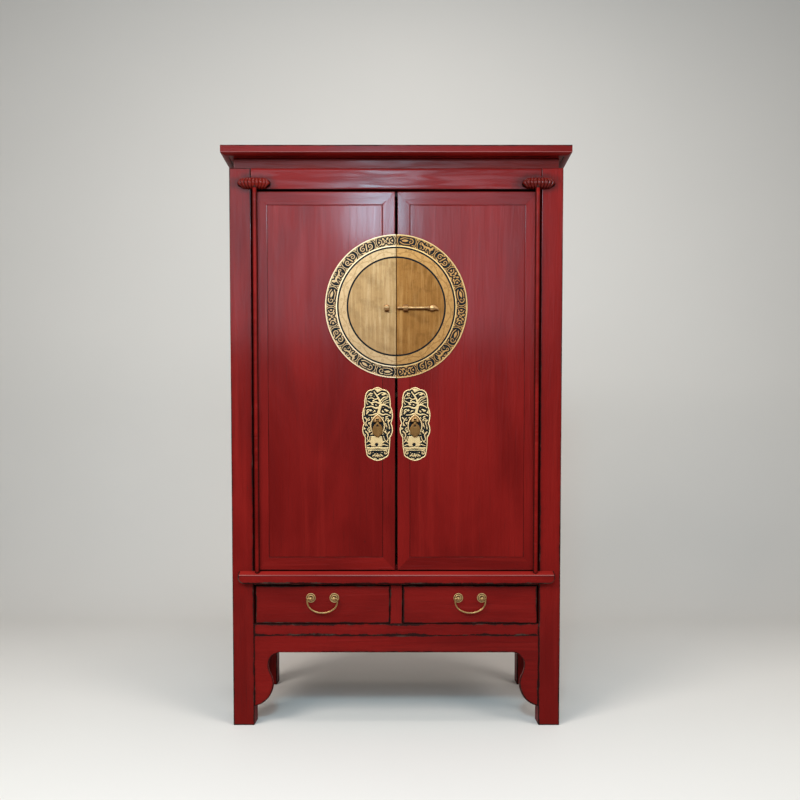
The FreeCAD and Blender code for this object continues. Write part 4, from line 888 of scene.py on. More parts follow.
def makeRod(side):
    # Round hanging rod with a thinner pivot at each end
    low, high = boxOf(side + "_pivot_rod")
    radius, centre = (high[0] - low[0]) / 2, (low + high) / 2
    pivot, soft = rod["pivot"], rod["soft"]
    foot, head = low[2] + rod["pin"], high[2] - rod["pin"]
    body = np.linspace(foot + soft, head - soft, 60)
    sway = rod["bow"] * np.abs(wavesAlong(body, 0.09, 0.23))
    profile = np.array([(low[2], pivot), (foot, pivot), (foot, radius - soft), *zip(body, radius - sway),
                        (head, radius - soft), (head, pivot), (high[2], pivot)])
    reach = np.minimum(profile[:, 0] - foot, head - profile[:, 0]).clip(0)
    part = turnedPart(profile, (centre[0], centre[1], 0), "z", 24, reach=reach)
    makePiece(side + "_pivot_rod", "round", [part], rodLacquer, side + "_door", crease=60)


boss = dict(ribs=9, blunt=3.5, power=0.36, groove=0.22, curve=0.28, valley=6 * mm)


def makeBoss(side):
    # Half melon along the rail: u runs along it, v round it. Its radius is (1 - |u|^blunt)^power, less the
    # grooves, which lie where u / (1 - curve cos^2 v) is even, so that they bow outwards from the middle.
    low, high = boxOf(side + "_pivot_boss")
    half, depth, outer = (high - low) * (0.5, 1, 0.5)
    middle, backY = (low + high) / 2, high[1]
    u = np.sin(np.linspace(-1, 1, 221) * math.pi / 2 * 0.985)
    v = np.linspace(0, math.pi, 41)
    uu, vv = np.meshgrid(u, v, indexing="ij")
    swell = (1 - np.abs(uu) ** boss["blunt"]) ** boss["power"]
    place = np.clip(uu / (1 - boss["curve"] * np.cos(vv) ** 2), -1, 1)
    rib = np.abs(np.cos(place * boss["ribs"] * math.pi / 2))
    radius = swell * (1 - boss["groove"] * (1 - rib ** 0.5))
    rings = stacked(middle[0] + uu * half, backY - radius * depth * np.sin(vv),
                    middle[2] + radius * outer * np.cos(vv))
    # Reach falls to nothing along each groove, where the carved lacquer paints near-black painted shade
    part = ringsPart(rings, rib * boss["valley"], stacked(uu * half, vv * outer, 0) + seedPlace())
    makePiece(side + "_pivot_boss", "carved", [part], carvedLacquer, crease=70)


for side, sign in sides:
    makeDoorWood(side, sign)
    makeRod(side)
    makeBoss(side)
print("doors made")


# Drawers

for side, sign in sides:
    node = side + "_drawer_front"
    makePiece(node, "board", [boxBoard(*boxOf(node), "x")], body=side + "_drawer")
    keepSolid(side + "_drawer_box", innerWood)
print("drawers made")


# Ornament: strokes and leaves as signed distances, positive inside

def strokeField(u, v, points, widths, least=-9.0):
    # Largest value of half width less distance, over the straight pieces of a line
    points = np.asarray(points, float)
    widths = np.broadcast_to(widths, (len(points),))
    best = np.full(u.shape, least)
    for (ax, ay), (bx, by), wa, wb in zip(points[:-1], points[1:], widths[:-1], widths[1:]):
        dx, dy = bx - ax, by - ay
        t = np.clip(((u - ax) * dx + (v - ay) * dy) / (dx * dx + dy * dy + 1e-12), 0, 1)
        best = np.maximum(best, wa + (wb - wa) * t - np.hypot(u - ax - dx * t, v - ay - dy * t))
    return best


def scrollLine(x, y, radius, start, turns, count=22, tight=0.82):
    # Spiral that winds in from a start angle
    t = np.linspace(0, 1, count)
    r = radius * (1 - tight * t)
    a = math.radians(start) + turn * turns * t
    return stacked(x + r * np.cos(a), y + r * np.sin(a))


def leafField(u, v, x, y, length, width, angle):
    # Pointed oval: the overlap of two circles
    a = math.radians(angle)
    du, dv = u - x, v - y
    p = du * math.cos(a) + dv * math.sin(a) - length / 2
    q = np.abs(-du * math.sin(a) + dv * math.cos(a))
    radius = (length ** 2 / 4 + width ** 2 / 4) / width
    return radius - np.hypot(p, q + radius - width / 2)


def curveLine(points, count=24):
    # Smooth line through a few points (Catmull-Rom)
    points = np.asarray(points, float)
    padded = np.concatenate([[2 * points[0] - points[1]], points, [2 * points[-1] - points[-2]]])
    t = np.linspace(0, len(points) - 1, count)
    i = np.minimum(t.astype(int), len(points) - 2)
    f = (t - i)[:, None]
    a, b, c, d = (padded[i + k] for k in range(4))
    return b + 0.5 * f * (c - a + f * (2 * a - 5 * b + 4 * c - d + f * (3 * b - a - 3 * c + d)))


# Lock plate

disc = dict(rim=3.2 * mm, rimRise=0.8 * mm, band=186 * mm, hub=155 * mm, line=5.0 * mm, border=2.6 * mm,
            lineDepth=0.8 * mm, relief=0.35 * mm, lobes=20, columns=640, thinner=0.4, gap=3.6, vines=26,
            wall=0.3 * mm, rows=26, bandRows=44, dish=0.10 * mm, dishSpan=0.021, share=0.6)

# Fillings of the cartouches, in mm from the middle: lines with their first and last half width, spirals
# (x, y, radius, start, turns, half width) and leaves (x, y, length, width, angle)
fillings = (
    dict(lines=(([(-21, -4), (-12, -9), (0, -9.5), (12, -8)], 1.9, 1.3),
                ([(-20, 5), (-9, 10), (4, 9.5)], 1.9, 1.2)),
         spirals=((13, 1, 9.5, 120, -1.1, 1.9),), leaves=((-17, 0, 23, 8.5, 6), (17, -11, 9, 4, 20))),
    dict(lines=(([(-16, 1), (-6, 3), (4, 1), (15, 4)], 3.6, 2.4),
                ([(-12, 0), (-17, -5), (-19, -11)], 2.2, 1.2),
                ([(-4, 0), (-2, -6), (-6, -11)], 2.2, 1.2), ([(7, 0), (4, -6), (9, -11)], 2.2, 1.2)),
         spirals=((19, 3, 6.5, 180, -0.9, 1.8), (3, 10, 4.5, 200, -0.8, 1.5), (17, -9, 4.5, 90, 0.8, 1.4)),
         leaves=((-23, 3, 10, 7, 30), (-15, 9, 11, 5, 160))),
    dict(lines=(([(-3, -10), (0, 0), (3, 10)], 2.0, 2.0),),
         spirals=((-12, 1, 9.5, 60, 1.25, 2.0), (12, -1, 9.5, 240, 1.25, 2.0)),
         leaves=((-6, 9, 10, 5, 60), (6, -9, 10, 5, 240))),
    dict(lines=(([(-20, 9), (-12, 4), (-14, -5), (-21, -9)], 1.6, 2.0),
                ([(20, 9), (13, 4), (14, -5), (21, -9)], 1.6, 2.0)),
         spirals=((0, -2, 5.0, 0, 0.95, 2.0),),
         leaves=((-3, 3, 12, 6.5, 125), (3, 3, 12, 6.5, 55), (-4, -5, 12, 6, 205), (4, -5, 12, 6, -25))),
)


def isles(field, gap):
    # Fills what is left of the ground with isles that keep a gap from the ornament round them
    return np.maximum(field, np.minimum(-field - gap, 1.2))


def drawnField(u, v, look):
    field = np.full(u.shape, -9.0)
    for points, first, last in look["lines"]:
        field = np.maximum(field, strokeField(u, v, curveLine(points, 14), np.linspace(first, last, 14)))
    for x, y, radius, start, turns, half in look["spirals"]:
        line = scrollLine(x, y, radius, start, turns, 20)
        field = np.maximum(field, strokeField(u, v, line, np.linspace(half, half * 0.6, 20)))
    for leaf in look["leaves"]:
        field = np.maximum(field, leafField(u, v, *leaf))
    return field


def bandField(angle, radius, inner, outer):
    # Ring of cartouches, parted by pairs of curves that meet at mid height
    pitch = turn / disc["lobes"]
    index = np.floor(angle / pitch).astype(int)
    middle = (inner + outer) / 2
    u = (angle / pitch - index - 0.5) * pitch * middle / mm
    v = (radius - middle) / mm
    half = pitch * middle / mm / 2
    tall = (outer - inner) / mm / 2
    field = np.full(u.shape, -9.0)
    for kind, look in enumerate(fillings):
        chosen = (index * 3 + index // 7) % len(fillings) == kind
        way = np.where(index[chosen] % 2, 1, -1)
        field[chosen] = drawnField(u[chosen] * way, v[chosen], look)
    away = half - np.abs(u)                       # distance from the parting line
    bow = 2.3 + 7.5 * (v / tall) ** 2
    field = np.minimum(field, away - bow - 3.0)
    field = np.maximum(field, 1.25 - np.abs(away - bow) * 0.8)
    field = np.maximum(field, (bow - away - 3.6) * 0.8)
    field = isles(field, disc["gap"]) - disc["thinner"]
    ripple = 0.9 + 0.8 * np.abs(np.sin(u * math.pi / 8.0))
    return np.maximum(field, ripple - (tall - np.abs(v)))


def vineField(angle, radius, inner, outer):
    # Fine engraved vine that waves round the pale band, with a curl in each bend
    middle, pitch = (inner + outer) / 2, turn / disc["vines"]
    u = ((angle / pitch) % 1 - 0.5) * pitch * middle / mm
    v = (radius - middle) / mm
    flip = np.where(np.floor(angle / pitch).astype(int) % 2, 1, -1)
    field = 1.2 - np.abs(v - flip * 4.5 * np.cos(u / (pitch * middle / mm) * math.pi))
    for curl in ((0, -4.5, 5.0, 90, 1.2), (-12, 5.5, 3.6, 0, -1.0), (12, 5.5, 3.6, 180, 1.0)):
        field = np.maximum(field, strokeField(u, v * flip, scrollLine(*curl), 0.9))
    for leaf in ((-6, 8, 7, 3.6, 30), (6, 8, 7, 3.6, 150)):
        field = np.maximum(field, leafField(u, v * flip, *leaf))
    return field


def makeDisc(side, sign):
    # Half plate on a polar grid: its inner end follows the straight seam
    low, high = boxOf(side + "_disc_half")
    seam = high[0] if sign < 0 else low[0]
    outer = max(abs(low[0]), abs(high[0]))
    level, backY = (low[2] + high[2]) / 2, high[1]
    face = backY - low[1] - disc["rimRise"]
    rim, band, hub, line = outer - disc["rim"], disc["band"], disc["hub"], disc["line"] / 2
    bandFoot = band + line + disc["border"]
    wall, rows = disc["wall"], disc["rows"]
    radii = np.concatenate([
        np.linspace(0.0, hub - line - wall, rows), [hub - line, hub + line, hub + line + wall],
        np.linspace(hub + line + 1 * mm, band - line - 1 * mm, rows),
        [band - line - wall, band - line, band + line, band + line + wall],
        np.linspace(bandFoot - wall, rim - 0.8 * mm, disc["bandRows"]),
        [rim - 0.1 * mm, rim + 0.5 * mm, rim + 2 * mm, outer - 0.8 * mm, outer]])
    angle = np.linspace(-math.pi / 2, math.pi / 2, disc["columns"])
    rr, aa = np.meshgrid(radii, angle, indexing="xy")
    theta = np.where(sign > 0, aa, math.pi - aa) % turn
    inBand = (rr > bandFoot) & (rr < rim)
    inVine = (rr > hub + line) & (rr < band - line)
    inLine = (rr >= hub - line) & (rr <= hub + line) | (rr >= band - line) & (rr <= band + line)
    relief = np.ones(rr.shape)
    relief[inBand] = np.clip(0.5 + 0.7 * bandField(theta[inBand], rr[inBand], bandFoot, rim), 0, 1)
    relief[inLine] = 0
    engraved = np.zeros(rr.shape)
    vine = vineField(theta[inVine], rr[inVine], hub + line, band - line)
    engraved[inVine] = np.clip(0.5 + 0.9 * vine, 0, 1)
    height = face - np.where(inBand, (1 - relief) * disc["relief"], 0)
    height -= np.where(inLine, disc["lineDepth"] * 0.7, 0)
    height += np.where(rr >= rim + 0.4 * mm, disc["rimRise"], 0)
    height = np.where(rr >= outer, face * disc["share"], height)
    # Shallow dishes keep the sheet from looking machined
    dish = np.sin(rr / disc["dishSpan"] + 2 * aa) * np.sin(5 * aa + 1.0 + sign)
    height += disc["dish"] * dish * (rr < hub - line)
    polish = inVine * 0.7 + (rr > band) * 0.9 + ((rr > rim) | (rr > band) & ~inBand) * 0.2
    x = seam + sign * rr * np.cos(aa) * (outer - abs(seam)) / outer
    z = level + rr * np.sin(aa)
    # Each ring goes out along the front and home along the back
    rings = np.concatenate([stacked(x, backY - height, z), stacked(x, backY, z)[:, [-1, 1]]], 1)
    part = ringsPart(rings, relief=carried(relief, x.shape, 1.0), engraved=carried(engraved, x.shape, 0.0),
                     polish=carried(polish, x.shape, 0.0))
    makePiece(side + "_disc_half", "engraved", [part], discBrassLitAndShaded[side], side + "_door",
              crease=40)


for side, sign in sides:
    makeDisc(side, sign)
print("lock plate made")


# Pull plates

pull = dict(corners=((0.0, 1.0), (0.36, 0.966), (0.78, 0.905), (0.86, 0.74), (0.9, 0.506), (0.83, 0.316),
                     (0.74, 0.1), (0.5, 0.04), (0.0, 0.0)),
            arcs=(1.1, 0.42, 2.6, 1.35, 0.84, 4.4, 0.3, 0.9), columns=126, rowStep=0.8 * mm, thick=1.5 * mm,
            relief=0.45 * mm, border=3.1, onionRise=1.9 * mm, axleRise=10 * mm, hoodWide=15 * mm,
            hoodTall=17 * mm, hoodDeep=12 * mm, hoodWall=2.2 * mm, hoodDrop=2 * mm, hoodFoot=4 * mm,
            slotHalf=5 * mm, slotHead=5.5 * mm, hoodSink=0.4 * mm, pin=1.6 * mm, pinHeld=2 * mm, gap=5.0,
            thinner=0.2)


def plateContour(halfWide, tall):
    # Right half of the scalloped outline from top to bottom, swelling arcs between its corners
    corners = [(halfWide * x, tall * (z - 0.5)) for x, z in pull["corners"]]
    rows = [arcBetween(a, b, halfWide * share, -1, 40)
            for a, b, share in zip(corners[:-1], corners[1:], pull["arcs"])]
    line = np.concatenate([rows[0]] + [row[1:] for row in rows[1:]])
    run = runOf(line)
    even = np.linspace(0, run[-1], int(run[-1] / pull["rowStep"]))
    line = stacked(np.interp(even, run, line[:, 0]), np.interp(even, run, line[:, 1]))
    line[:, 1] = np.minimum.accumulate(line[:, 1] - np.arange(len(line)) * 1e-7)
    return line


def onionLine(count=90):
    # Pointed oval: round below, drawn in to a tip above
    t = np.linspace(0, turn, count)
    tip = np.clip(np.sin(t), 0, 1)
    return stacked(22.0 * np.cos(t) * (1 - 0.42 * tip ** 2.2),
                   -6 + np.where(np.sin(t) > 0, 34.5, 28.5) * np.sin(t))


# Foliage of the pull plates in mm from the middle: stem and broad leaves above, curls beside the knob,
# scrolls below
foliage = dict(
    lines=(([(1, 28), (6, 46), (10, 60), (5, 78), (-1, 88), (-11, 102)], 4.6, 1.8),
           ([(5, 51), (-8, 51), (-20, 56), (-36, 53)], 3.4, 1.4),
           ([(-4, 33), (-14, 29), (-28, 28)], 2.6, 1.4),
           ([(8, 64), (-6, 70), (-18, 67), (-32, 73)], 2.4, 1.3),
           ([(3, 82), (-8, 78), (-18, 83), (-30, 80)], 2.0, 1.2),
           ([(-31, 62), (-36, 70), (-33, 86), (-22, 99)], 1.3, 1.2),
           ([(6, 56), (18, 61), (30, 57), (39, 51)], 3.2, 1.4),
           ([(5, 35), (16, 29), (28, 31), (42, 25)], 2.8, 1.3), ([(10, 74), (20, 84), (34, 86)], 2.4, 1.3),
           ([(0, 92), (13, 99), (27, 97), (35, 86)], 1.8, 1.2), ([(15, 62), (24, 71), (36, 76)], 1.3, 1.0),
           ([(19, 62), (28, 67), (37, 68)], 1.2, 1.0), ([(12, 66), (19, 76), (31, 82)], 1.3, 1.0),
           ([(-40, 20), (-34, 12), (-38, 2), (-32, -6)], 2.2, 1.3), ([(40, 12), (34, 4), (38, -8)], 2.0, 1.3),
           ([(-38, -24), (-30, -34), (-33, -48), (-26, -56)], 2.2, 1.4),
           ([(38, -26), (31, -36), (34, -50), (27, -58)], 2.2, 1.4),
           ([(-24, -40), (-27, -52), (-36, -60)], 1.5, 1.2), ([(19, -40), (24, -52), (35, -62)], 1.5, 1.2),
           ([(-37, -76), (-20, -78), (0, -76), (20, -78), (36, -77)], 2.9, 2.9),
           ([(-33, -83), (0, -84), (32, -83)], 1.4, 1.4),
           ([(-16, -70), (-24, -66), (-34, -70)], 1.7, 1.2), ([(10, -70), (20, -66), (33, -70)], 1.7, 1.2)),
    spirals=((32, 12, 6.5, 200, -1.0, 1.8), (-30, 40, 6.5, 20, 1.0, 1.8), (24, -21, 7.0, 100, 1.0, 1.7),
             (-29, -17, 6.0, 80, -1.1, 1.6), (-20, 92, 6.0, 40, 1.1, 1.5), (-27, 14, 5.0, 90, 1.0, 1.4),
             (-25, -92, 7.5, 60, 1.1, 1.9), (25, -92, 7.5, 120, -1.1, 1.9), (-7, -98, 6.5, 20, -1.0, 1.8),
             (9, -99, 5.5, 160, 1.0, 1.6)),
    leaves=((-27, 43, 10, 6, 0), (25, 41, 11, 6, 10), (12, 92, 16, 6, 15), (-12, 60, 11, 5, 150),
            (20, 47, 12, 5, -20), (34, 24, 10, 5, 200), (-36, 30, 12, 5, 60), (-38, -8, 10, 4.5, 80),
            (-30, -28, 12, 5, 30), (30, -32, 12, 5, 130),
            (-9, 76, 9, 5, 210), (1, -108, 9, 4.5, 90), (-18, -104, 9, 4, 30), (19, -104, 9, 4, 150),
            (39, -18, 10, 4.5, 100), (-17, -62, 12, 5, 140), (14, -62, 12, 5, 40), (28, 106, 9, 4, 160)))


def foliageField(u, v):
    field = drawnField(u, v, foliage)
    # Fan under the drop, pierced by a round hole
    fan = np.minimum(np.minimum(-39 - v, v + 72), 20.5 - np.abs(u + 3) - 0.22 * np.abs(v + 55))
    field = np.maximum(field, fan)
    field = isles(field, pull["gap"]) - pull["thinner"]
    return np.minimum(field, np.hypot(u + 3, v + 66) - 5.6)


def makePullPlate(side):
    # Rows from one edge of the outline to the other. The relief stands on a black ground in a plain border.
    low, high = boxOf(side + "_pull_plate")
    backY, halfWide = high[1], (high[0] - low[0]) / 2
    centreX, centreZ = (low[0] + high[0]) / 2, (low[2] + high[2]) / 2
    # The widest swell of the outline is as wide as the node's box
    line = plateContour(halfWide, high[2] - low[2])
    line[:, 0] *= halfWide / line[:, 0].max()
    share = np.linspace(-1, 1, pull["columns"])
    uu = line[:, :1] * share / mm
    vv = np.broadcast_to(line[:, 1:] / mm, uu.shape)
    outline = np.concatenate([line, line[::-1] * (-1, 1)]) / mm
    edge = -strokeField(uu, vv, outline[::3], 0.0, -farFromEdge / mm)
    field = foliageField(uu, vv)
    onion = strokeField(uu, vv, onionLine(), 2.3)
    inside = np.hypot(uu / 21, (vv + 4) / np.where(vv > -4, 31, 29)) < 1
    field = np.where(inside, -1, field)
    field = np.minimum(field, -onion - 1.3)
    border = pull["border"] - edge
    field = np.minimum(field, -border - 1.6)
    relief = np.clip(0.5 + 0.8 * np.maximum(np.maximum(field, border), onion), 0, 1)
    height = pull["thick"] - (1 - relief) * pull["relief"]
    height = height + pull["onionRise"] * np.clip(onion / 1.1, 0, 1) ** 0.5
    height = height - np.clip(0.5 - edge, 0, 0.5) * mm * 1.2
    polish = np.where(border > -0.5, 1.2, 1.04) + np.where(onion > -0.5, 0.05, 0)
    x, z = centreX + uu * mm, centreZ + vv * mm
    rings = np.concatenate([stacked(x, backY - height, z), stacked(x, backY, z)[:, [-1, 0]]], 1)
    plate = ringsPart(rings, relief=carried(relief, x.shape, 1.0), engraved=0.0,
                      polish=carried(polish, x.shape, 0.4))
    axle = np.array([centreX, np.mean(boxOf(side + "_pull_drop"), axis=0)[1], centreZ + pull["axleRise"]])
    hood = hoodPart(centreX, backY - pull["thick"] + pull["hoodSink"], axle[2])
    half = pull["slotHalf"] + pull["pinHeld"]
    pin = turnedPart([(-half, pull["pin"]), (half, pull["pin"])], axle, "x", 16, relief=1.0, engraved=0.0,
                     polish=0.3)
    makePiece(side + "_pull_plate", "relief", [plate, hood, pin], pullBrass, side + "_door",
              crease=48)


def hoodPart(centreX, baseY, axleZ):
    # Hollow hood over the axle: sections across x, each a quarter oval with a wall, open below. A slot in
    # its middle lets the drop swing out.
    wide, wall, slot = pull["hoodWide"], pull["hoodWall"], pull["slotHalf"]
    flank = wide * np.cos(np.linspace(0.12, math.acos((slot + 0.3 * mm) / wide), 16))
    x = np.concatenate([-flank, [-slot - 0.05 * mm], np.linspace(-slot, slot, 15), [slot + 0.05 * mm],
                        flank[::-1]])
    inSlot = np.abs(x) <= slot
    centreZ = axleZ - pull["hoodDrop"]
    outer = np.sqrt(1 - (x / wide) ** 2)
    inner = np.sqrt(np.maximum(1 - (x / (wide - wall)) ** 2, 0.02))
    foot = np.where(inSlot, axleZ + pull["slotHead"], axleZ - pull["hoodFoot"])
    share = np.linspace(0, 1, 18)[None, :]

    def arc(scale, tall, deep, flip):
        begin = np.arcsin(np.clip((foot - centreZ) / (tall * scale), -1, 0.98))[:, None]
        angle = begin + (math.pi / 2 - begin) * (share[:, ::-1] if flip else share)
        return stacked(centreX + x[:, None], baseY - deep * scale[:, None] * np.cos(angle),
                       centreZ + tall * scale[:, None] * np.sin(angle))

    rings = np.concatenate([arc(outer, pull["hoodTall"], pull["hoodDeep"], False),
                            arc(inner, pull["hoodTall"] - wall, pull["hoodDeep"] - wall, True)], 1)
    # Painted shade blackens the hood's flanks, and a faint painted highlight brightens its middle
    flank = np.abs(x / wide)[:, None] * np.ones(rings.shape[:2])
    return ringsPart(rings, relief=np.clip(1.25 - 0.95 * flank ** 2.5, 0.42, 1), engraved=0.0,
                     polish=np.clip(1.0 - 1.6 * flank ** 2, 0, 1) * 0.2)


drop = dict(neck=4.2 * mm, neckRun=8.4 * mm, shoulder=30 * mm, thick=2.6 * mm, dome=0.6 * mm,
            knuckle=3.4 * mm, bore=1.7 * mm, knuckleSoft=0.4 * mm, eye=1.3 * mm)


def makeDrop(side):
    # Leaf in rows from its neck to its tip, a little domed, with a three-cornered eye sunk under the neck
    low, high = boxOf(side + "_pull_drop")
    centreX, middleY = (low[0] + high[0]) / 2, (low[1] + high[1]) / 2
    axle = high[2] - drop["knuckle"]
    wide, neck = (high[0] - low[0]) / 2, drop["neck"]
    shoulderZ, tip = axle - drop["shoulder"], low[2]
    # Radii of arcs that are upright at the widest level
    crown, belly = ((x ** 2 + z ** 2) / (2 * x) for x, z in
                    ((wide - neck, drop["shoulder"] - drop["neckRun"]), (wide, shoulderZ - tip)))
    sideLine = np.concatenate([
        [[neck, axle], [neck, axle - drop["neckRun"] * 0.5]],
        arcBetween((neck, axle - drop["neckRun"]), (wide, shoulderZ), crown, -1, 22),
        arcBetween((wide, shoulderZ), (0, tip), belly, -1, 40)[1:]])
    sideLine[-1, 0] = 0.25 * mm
    share = np.linspace(-1, 1, 41)
    x = sideLine[:, :1] * share
    z = np.broadcast_to(sideLine[:, 1:], x.shape)
    u, v = x / mm, (z - axle) / mm
    eye = np.minimum(np.minimum(v + 19.0, (-11.0 - v - np.abs(u) * 1.75) * 0.5), 3)
    rim = np.clip((1 - np.abs(share)) * sideLine[:, :1] / mm, 0, 2.0) / 2.0
    dome = drop["dome"] * (1 - share ** 2) * (sideLine[:, :1] > neck * 1.1)
    face = drop["thick"] / 2 - 0.5 * mm + 0.5 * mm * np.sqrt(rim) + dome
    face = np.minimum(face, middleY - low[1]) - drop["eye"] * np.clip(0.5 + eye, 0, 1)
    back = stacked(centreX + x * 0.97, middleY + drop["thick"] / 2, z)[:, [-1, 0]]
    relief = 1 - np.clip(0.5 + 1.2 * eye, 0, 1)
    leaf = ringsPart(np.concatenate([stacked(centreX + x, middleY - face, z), back], 1),
                     relief=carried(relief, x.shape, 1.0), engraved=0.0, polish=0.15)
    soft, radius = drop["knuckleSoft"], drop["knuckle"]
    half = [(neck - soft, radius), (neck, radius - soft), (neck, drop["bore"])]
    knuckle = turnedPart([(-reach, r) for reach, r in half[::-1]] + half, (centreX, middleY, axle), "x", 28,
                         looped=True, relief=1.0, engraved=0.0, polish=0.2)
    makePiece(side + "_pull_drop", "leaf", [leaf, knuckle], dropBrass, side + "_drop",
              crease=50)


for side, sign in sides:
    makePullPlate(side)
    makeDrop(side)
print("pull plates made")


# Lock pin and staples

bolt = dict(shaft=3.5 * mm, collar=5.5 * mm, collarRun=5 * mm, finial=31 * mm, deep=11 * mm, bore=3.6 * mm,
            flat=0.1 * mm)


def makeStaple(side, sign):
    # Barrel with raised rings, bored for the pin and standing on the plate
    node = side + "_staple"
    low, high = boxOf(node)
    centre = (low + high) / 2
    half, radius = (high[0] - low[0]) / 2, (high[2] - low[2]) / 2
    centre[1] = low[1] + radius
    share = np.linspace(-1, 1, 49)
    ridge = 0.5 * (1 + np.cos(share * math.pi * 5)) if sign > 0 else (np.abs(share) > 0.72) * 1.0
    outer = radius * (0.86 + 0.06 * (1 - share ** 2) + 0.08 * ridge * (1 - np.abs(share) ** 8))
    ends = [(-half, bolt["bore"])], [(half, bolt["bore"])]
    part = turnedPart(np.concatenate([ends[0], stacked(share * half, outer), ends[1]]), centre, "x", 44,
                      looped=True)
    part["points"][:, 1] = np.minimum(part["points"][:, 1], high[1] - bolt["flat"])
    makePiece(node, "barrel", [part], copperBrass, side + "_door", crease=55)


def makeLockPin():
    low, high = boxOf("lock_pin")
    foot, head = boxOf("right_staple")
    y, z = foot[1] + (head[2] - foot[2]) / 2, (foot[2] + head[2]) / 2
    run = bolt["finial"] * 0.985
    heel = high[0] - run
    collar = heel - bolt["collarRun"]
    tip, r, c = low[0], bolt["shaft"], bolt["collar"]
    shaft = turnedPart([(tip, r * 0.55), (tip + 0.5 * mm, r * 0.85), (tip + 1.6 * mm, r),
                        (tip + 30 * mm, r * 0.985), (tip + 60 * mm, r), (collar, r)], (0, y, z), "x", 32)
    ring = turnedPart([(collar, r * 0.9), (collar, c * 0.86), (collar + 0.8 * mm, c), (heel - 0.8 * mm, c),
                       (heel + 0.2 * mm, c * 0.8), (heel + 0.2 * mm, r * 0.8)], (0, y, z), "x", 36)
    # Comma: upright oval sections between its upper and its lower edge, whose tail turns down
    t = np.sin(np.linspace(0, math.pi / 2, 34)) ** 1.3
    knots = [0, 0.03, 0.08, 0.18, 0.35, 0.5, 0.65, 0.8, 0.92, 1]
    upper = np.interp(t, knots, [2.6, 5.2, 6.9, 8.5, 9.1, 8.8, 7.1, 3.9, -0.6, -5.6]) * mm
    lower = np.interp(t, knots, [-2.6, -5.2, -6.8, -8.2, -8.7, -7.6, -5.7, -5.3, -6.6, -8.4]) * mm
    tall, middle = (upper - lower) / 2, (upper + lower) / 2
    spokes = np.linspace(0, turn, 37)[:-1]
    deep = np.minimum(tall * 0.62, bolt["deep"] / 2)
    comma = ringsPart(stacked((heel + t * run)[:, None], y + deep[:, None] * np.cos(spokes),
                              z + middle[:, None] + tall[:, None] * np.sin(spokes)))
    makePiece("lock_pin", "turned", [shaft, ring, comma], copperBrass, "lock_pin", crease=50)


for side, sign in sides:
    makeStaple(side, sign)
makeLockPin()
print("lock made")


# Drawer handles

handle = dict(rose=15.5 * mm, step=11.5 * mm, thick=2.2 * mm, neck=3.6 * mm, standoff=12 * mm,
              pommel=5.6 * mm, bore=2.95 * mm, spacing=76 * mm)


def makeRosettes(side):
    # Two stepped roses turned about y, each with a neck and a pommel that is bored for the bail
    node = side + "_rosettes"
    low, high = boxOf(node)
    middle, z, faceY = (low[0] + high[0]) / 2, (low[2] + high[2]) / 2, high[1]
    t, step, neck = handle["thick"], handle["step"], handle["neck"]
    edge = np.linspace(0, math.pi / 2, 5)[1:]
    parts = []
    for way in (-1, 1):
        x = middle + way * handle["spacing"] / 2
        # Rim of the plate, groove, rim of the step, and the hollow that rises to the neck
        rows = [(0, handle["rose"] - 0.4 * mm)]
        rows += [(-t * (0.5 + 0.5 * math.sin(a)), handle["rose"] - t * 0.6 * (1 - math.cos(a))) for a in edge]
        rows += [(-t, step + 1.5 * mm), (-t * 0.75, step + 1.0 * mm), (-t * 0.75, step - 0.2 * mm)]
        rows += [(-t * (1.1 + 0.9 * math.sin(a)), step - 0.6 * mm - t * 0.9 * (1 - math.cos(a)))
                 for a in edge]
        rows += [(-2 * t, step * 0.62), (-1.8 * t, step * 0.55), (-1.8 * t, neck + 0.6 * mm),
                 (-2.2 * t, neck), (-handle["standoff"], neck * 0.85)]
        # The plate's foot and the groove beside the step are painted black, and the hollow and neck under the
        # pommel are painted black as painted shadow
        dark = np.ones(len(rows))
        dark[[0, 1, 6, 7, -4, -3, -2, -1]] = 0.42, 0.50, 0.30, 0.30, 0.42, 0.30, 0.30, 0.30
        polish = np.where(np.arange(len(rows)) < 5, 0.9, 0.6)
        parts.append(turnedPart(rows, (x, faceY, z), "y", 48, relief=dark, engraved=0.0, polish=polish))
        bore = handle["bore"]
        lean = math.asin(bore / handle["pommel"])
        angle = np.linspace(lean, math.pi - lean, 15)
        ball = stacked(-np.cos(angle), np.sin(angle)) * handle["pommel"]
        ball = np.concatenate([[(ball[0, 0] * 0.8, bore)], ball, [(ball[-1, 0] * 0.8, bore)]])
        # The pommel is painted black round its bore: painted shade in the hole
        dark = np.clip(np.sin(np.linspace(0, math.pi, len(ball))) * 2.2, 0.0, 1)
        parts.append(turnedPart(ball, (x, faceY - handle["standoff"], z), "x", 36, looped=True, relief=dark,
                                engraved=0.0, polish=0.8))
    makePiece(node, "turned", parts, roseBrass, side + "_drawer", crease=50)


for side, sign in sides:
    makeRosettes(side)
    keepSolid(side + "_bail", fittingBrass)
print("handles made")


# Stage, lights and camera

studio = dict(floor=(0.60, 0.575, 0.54, 1), wallY=2.6, world=0.13, reach=9.0, halfWide=10, bend=1.2)


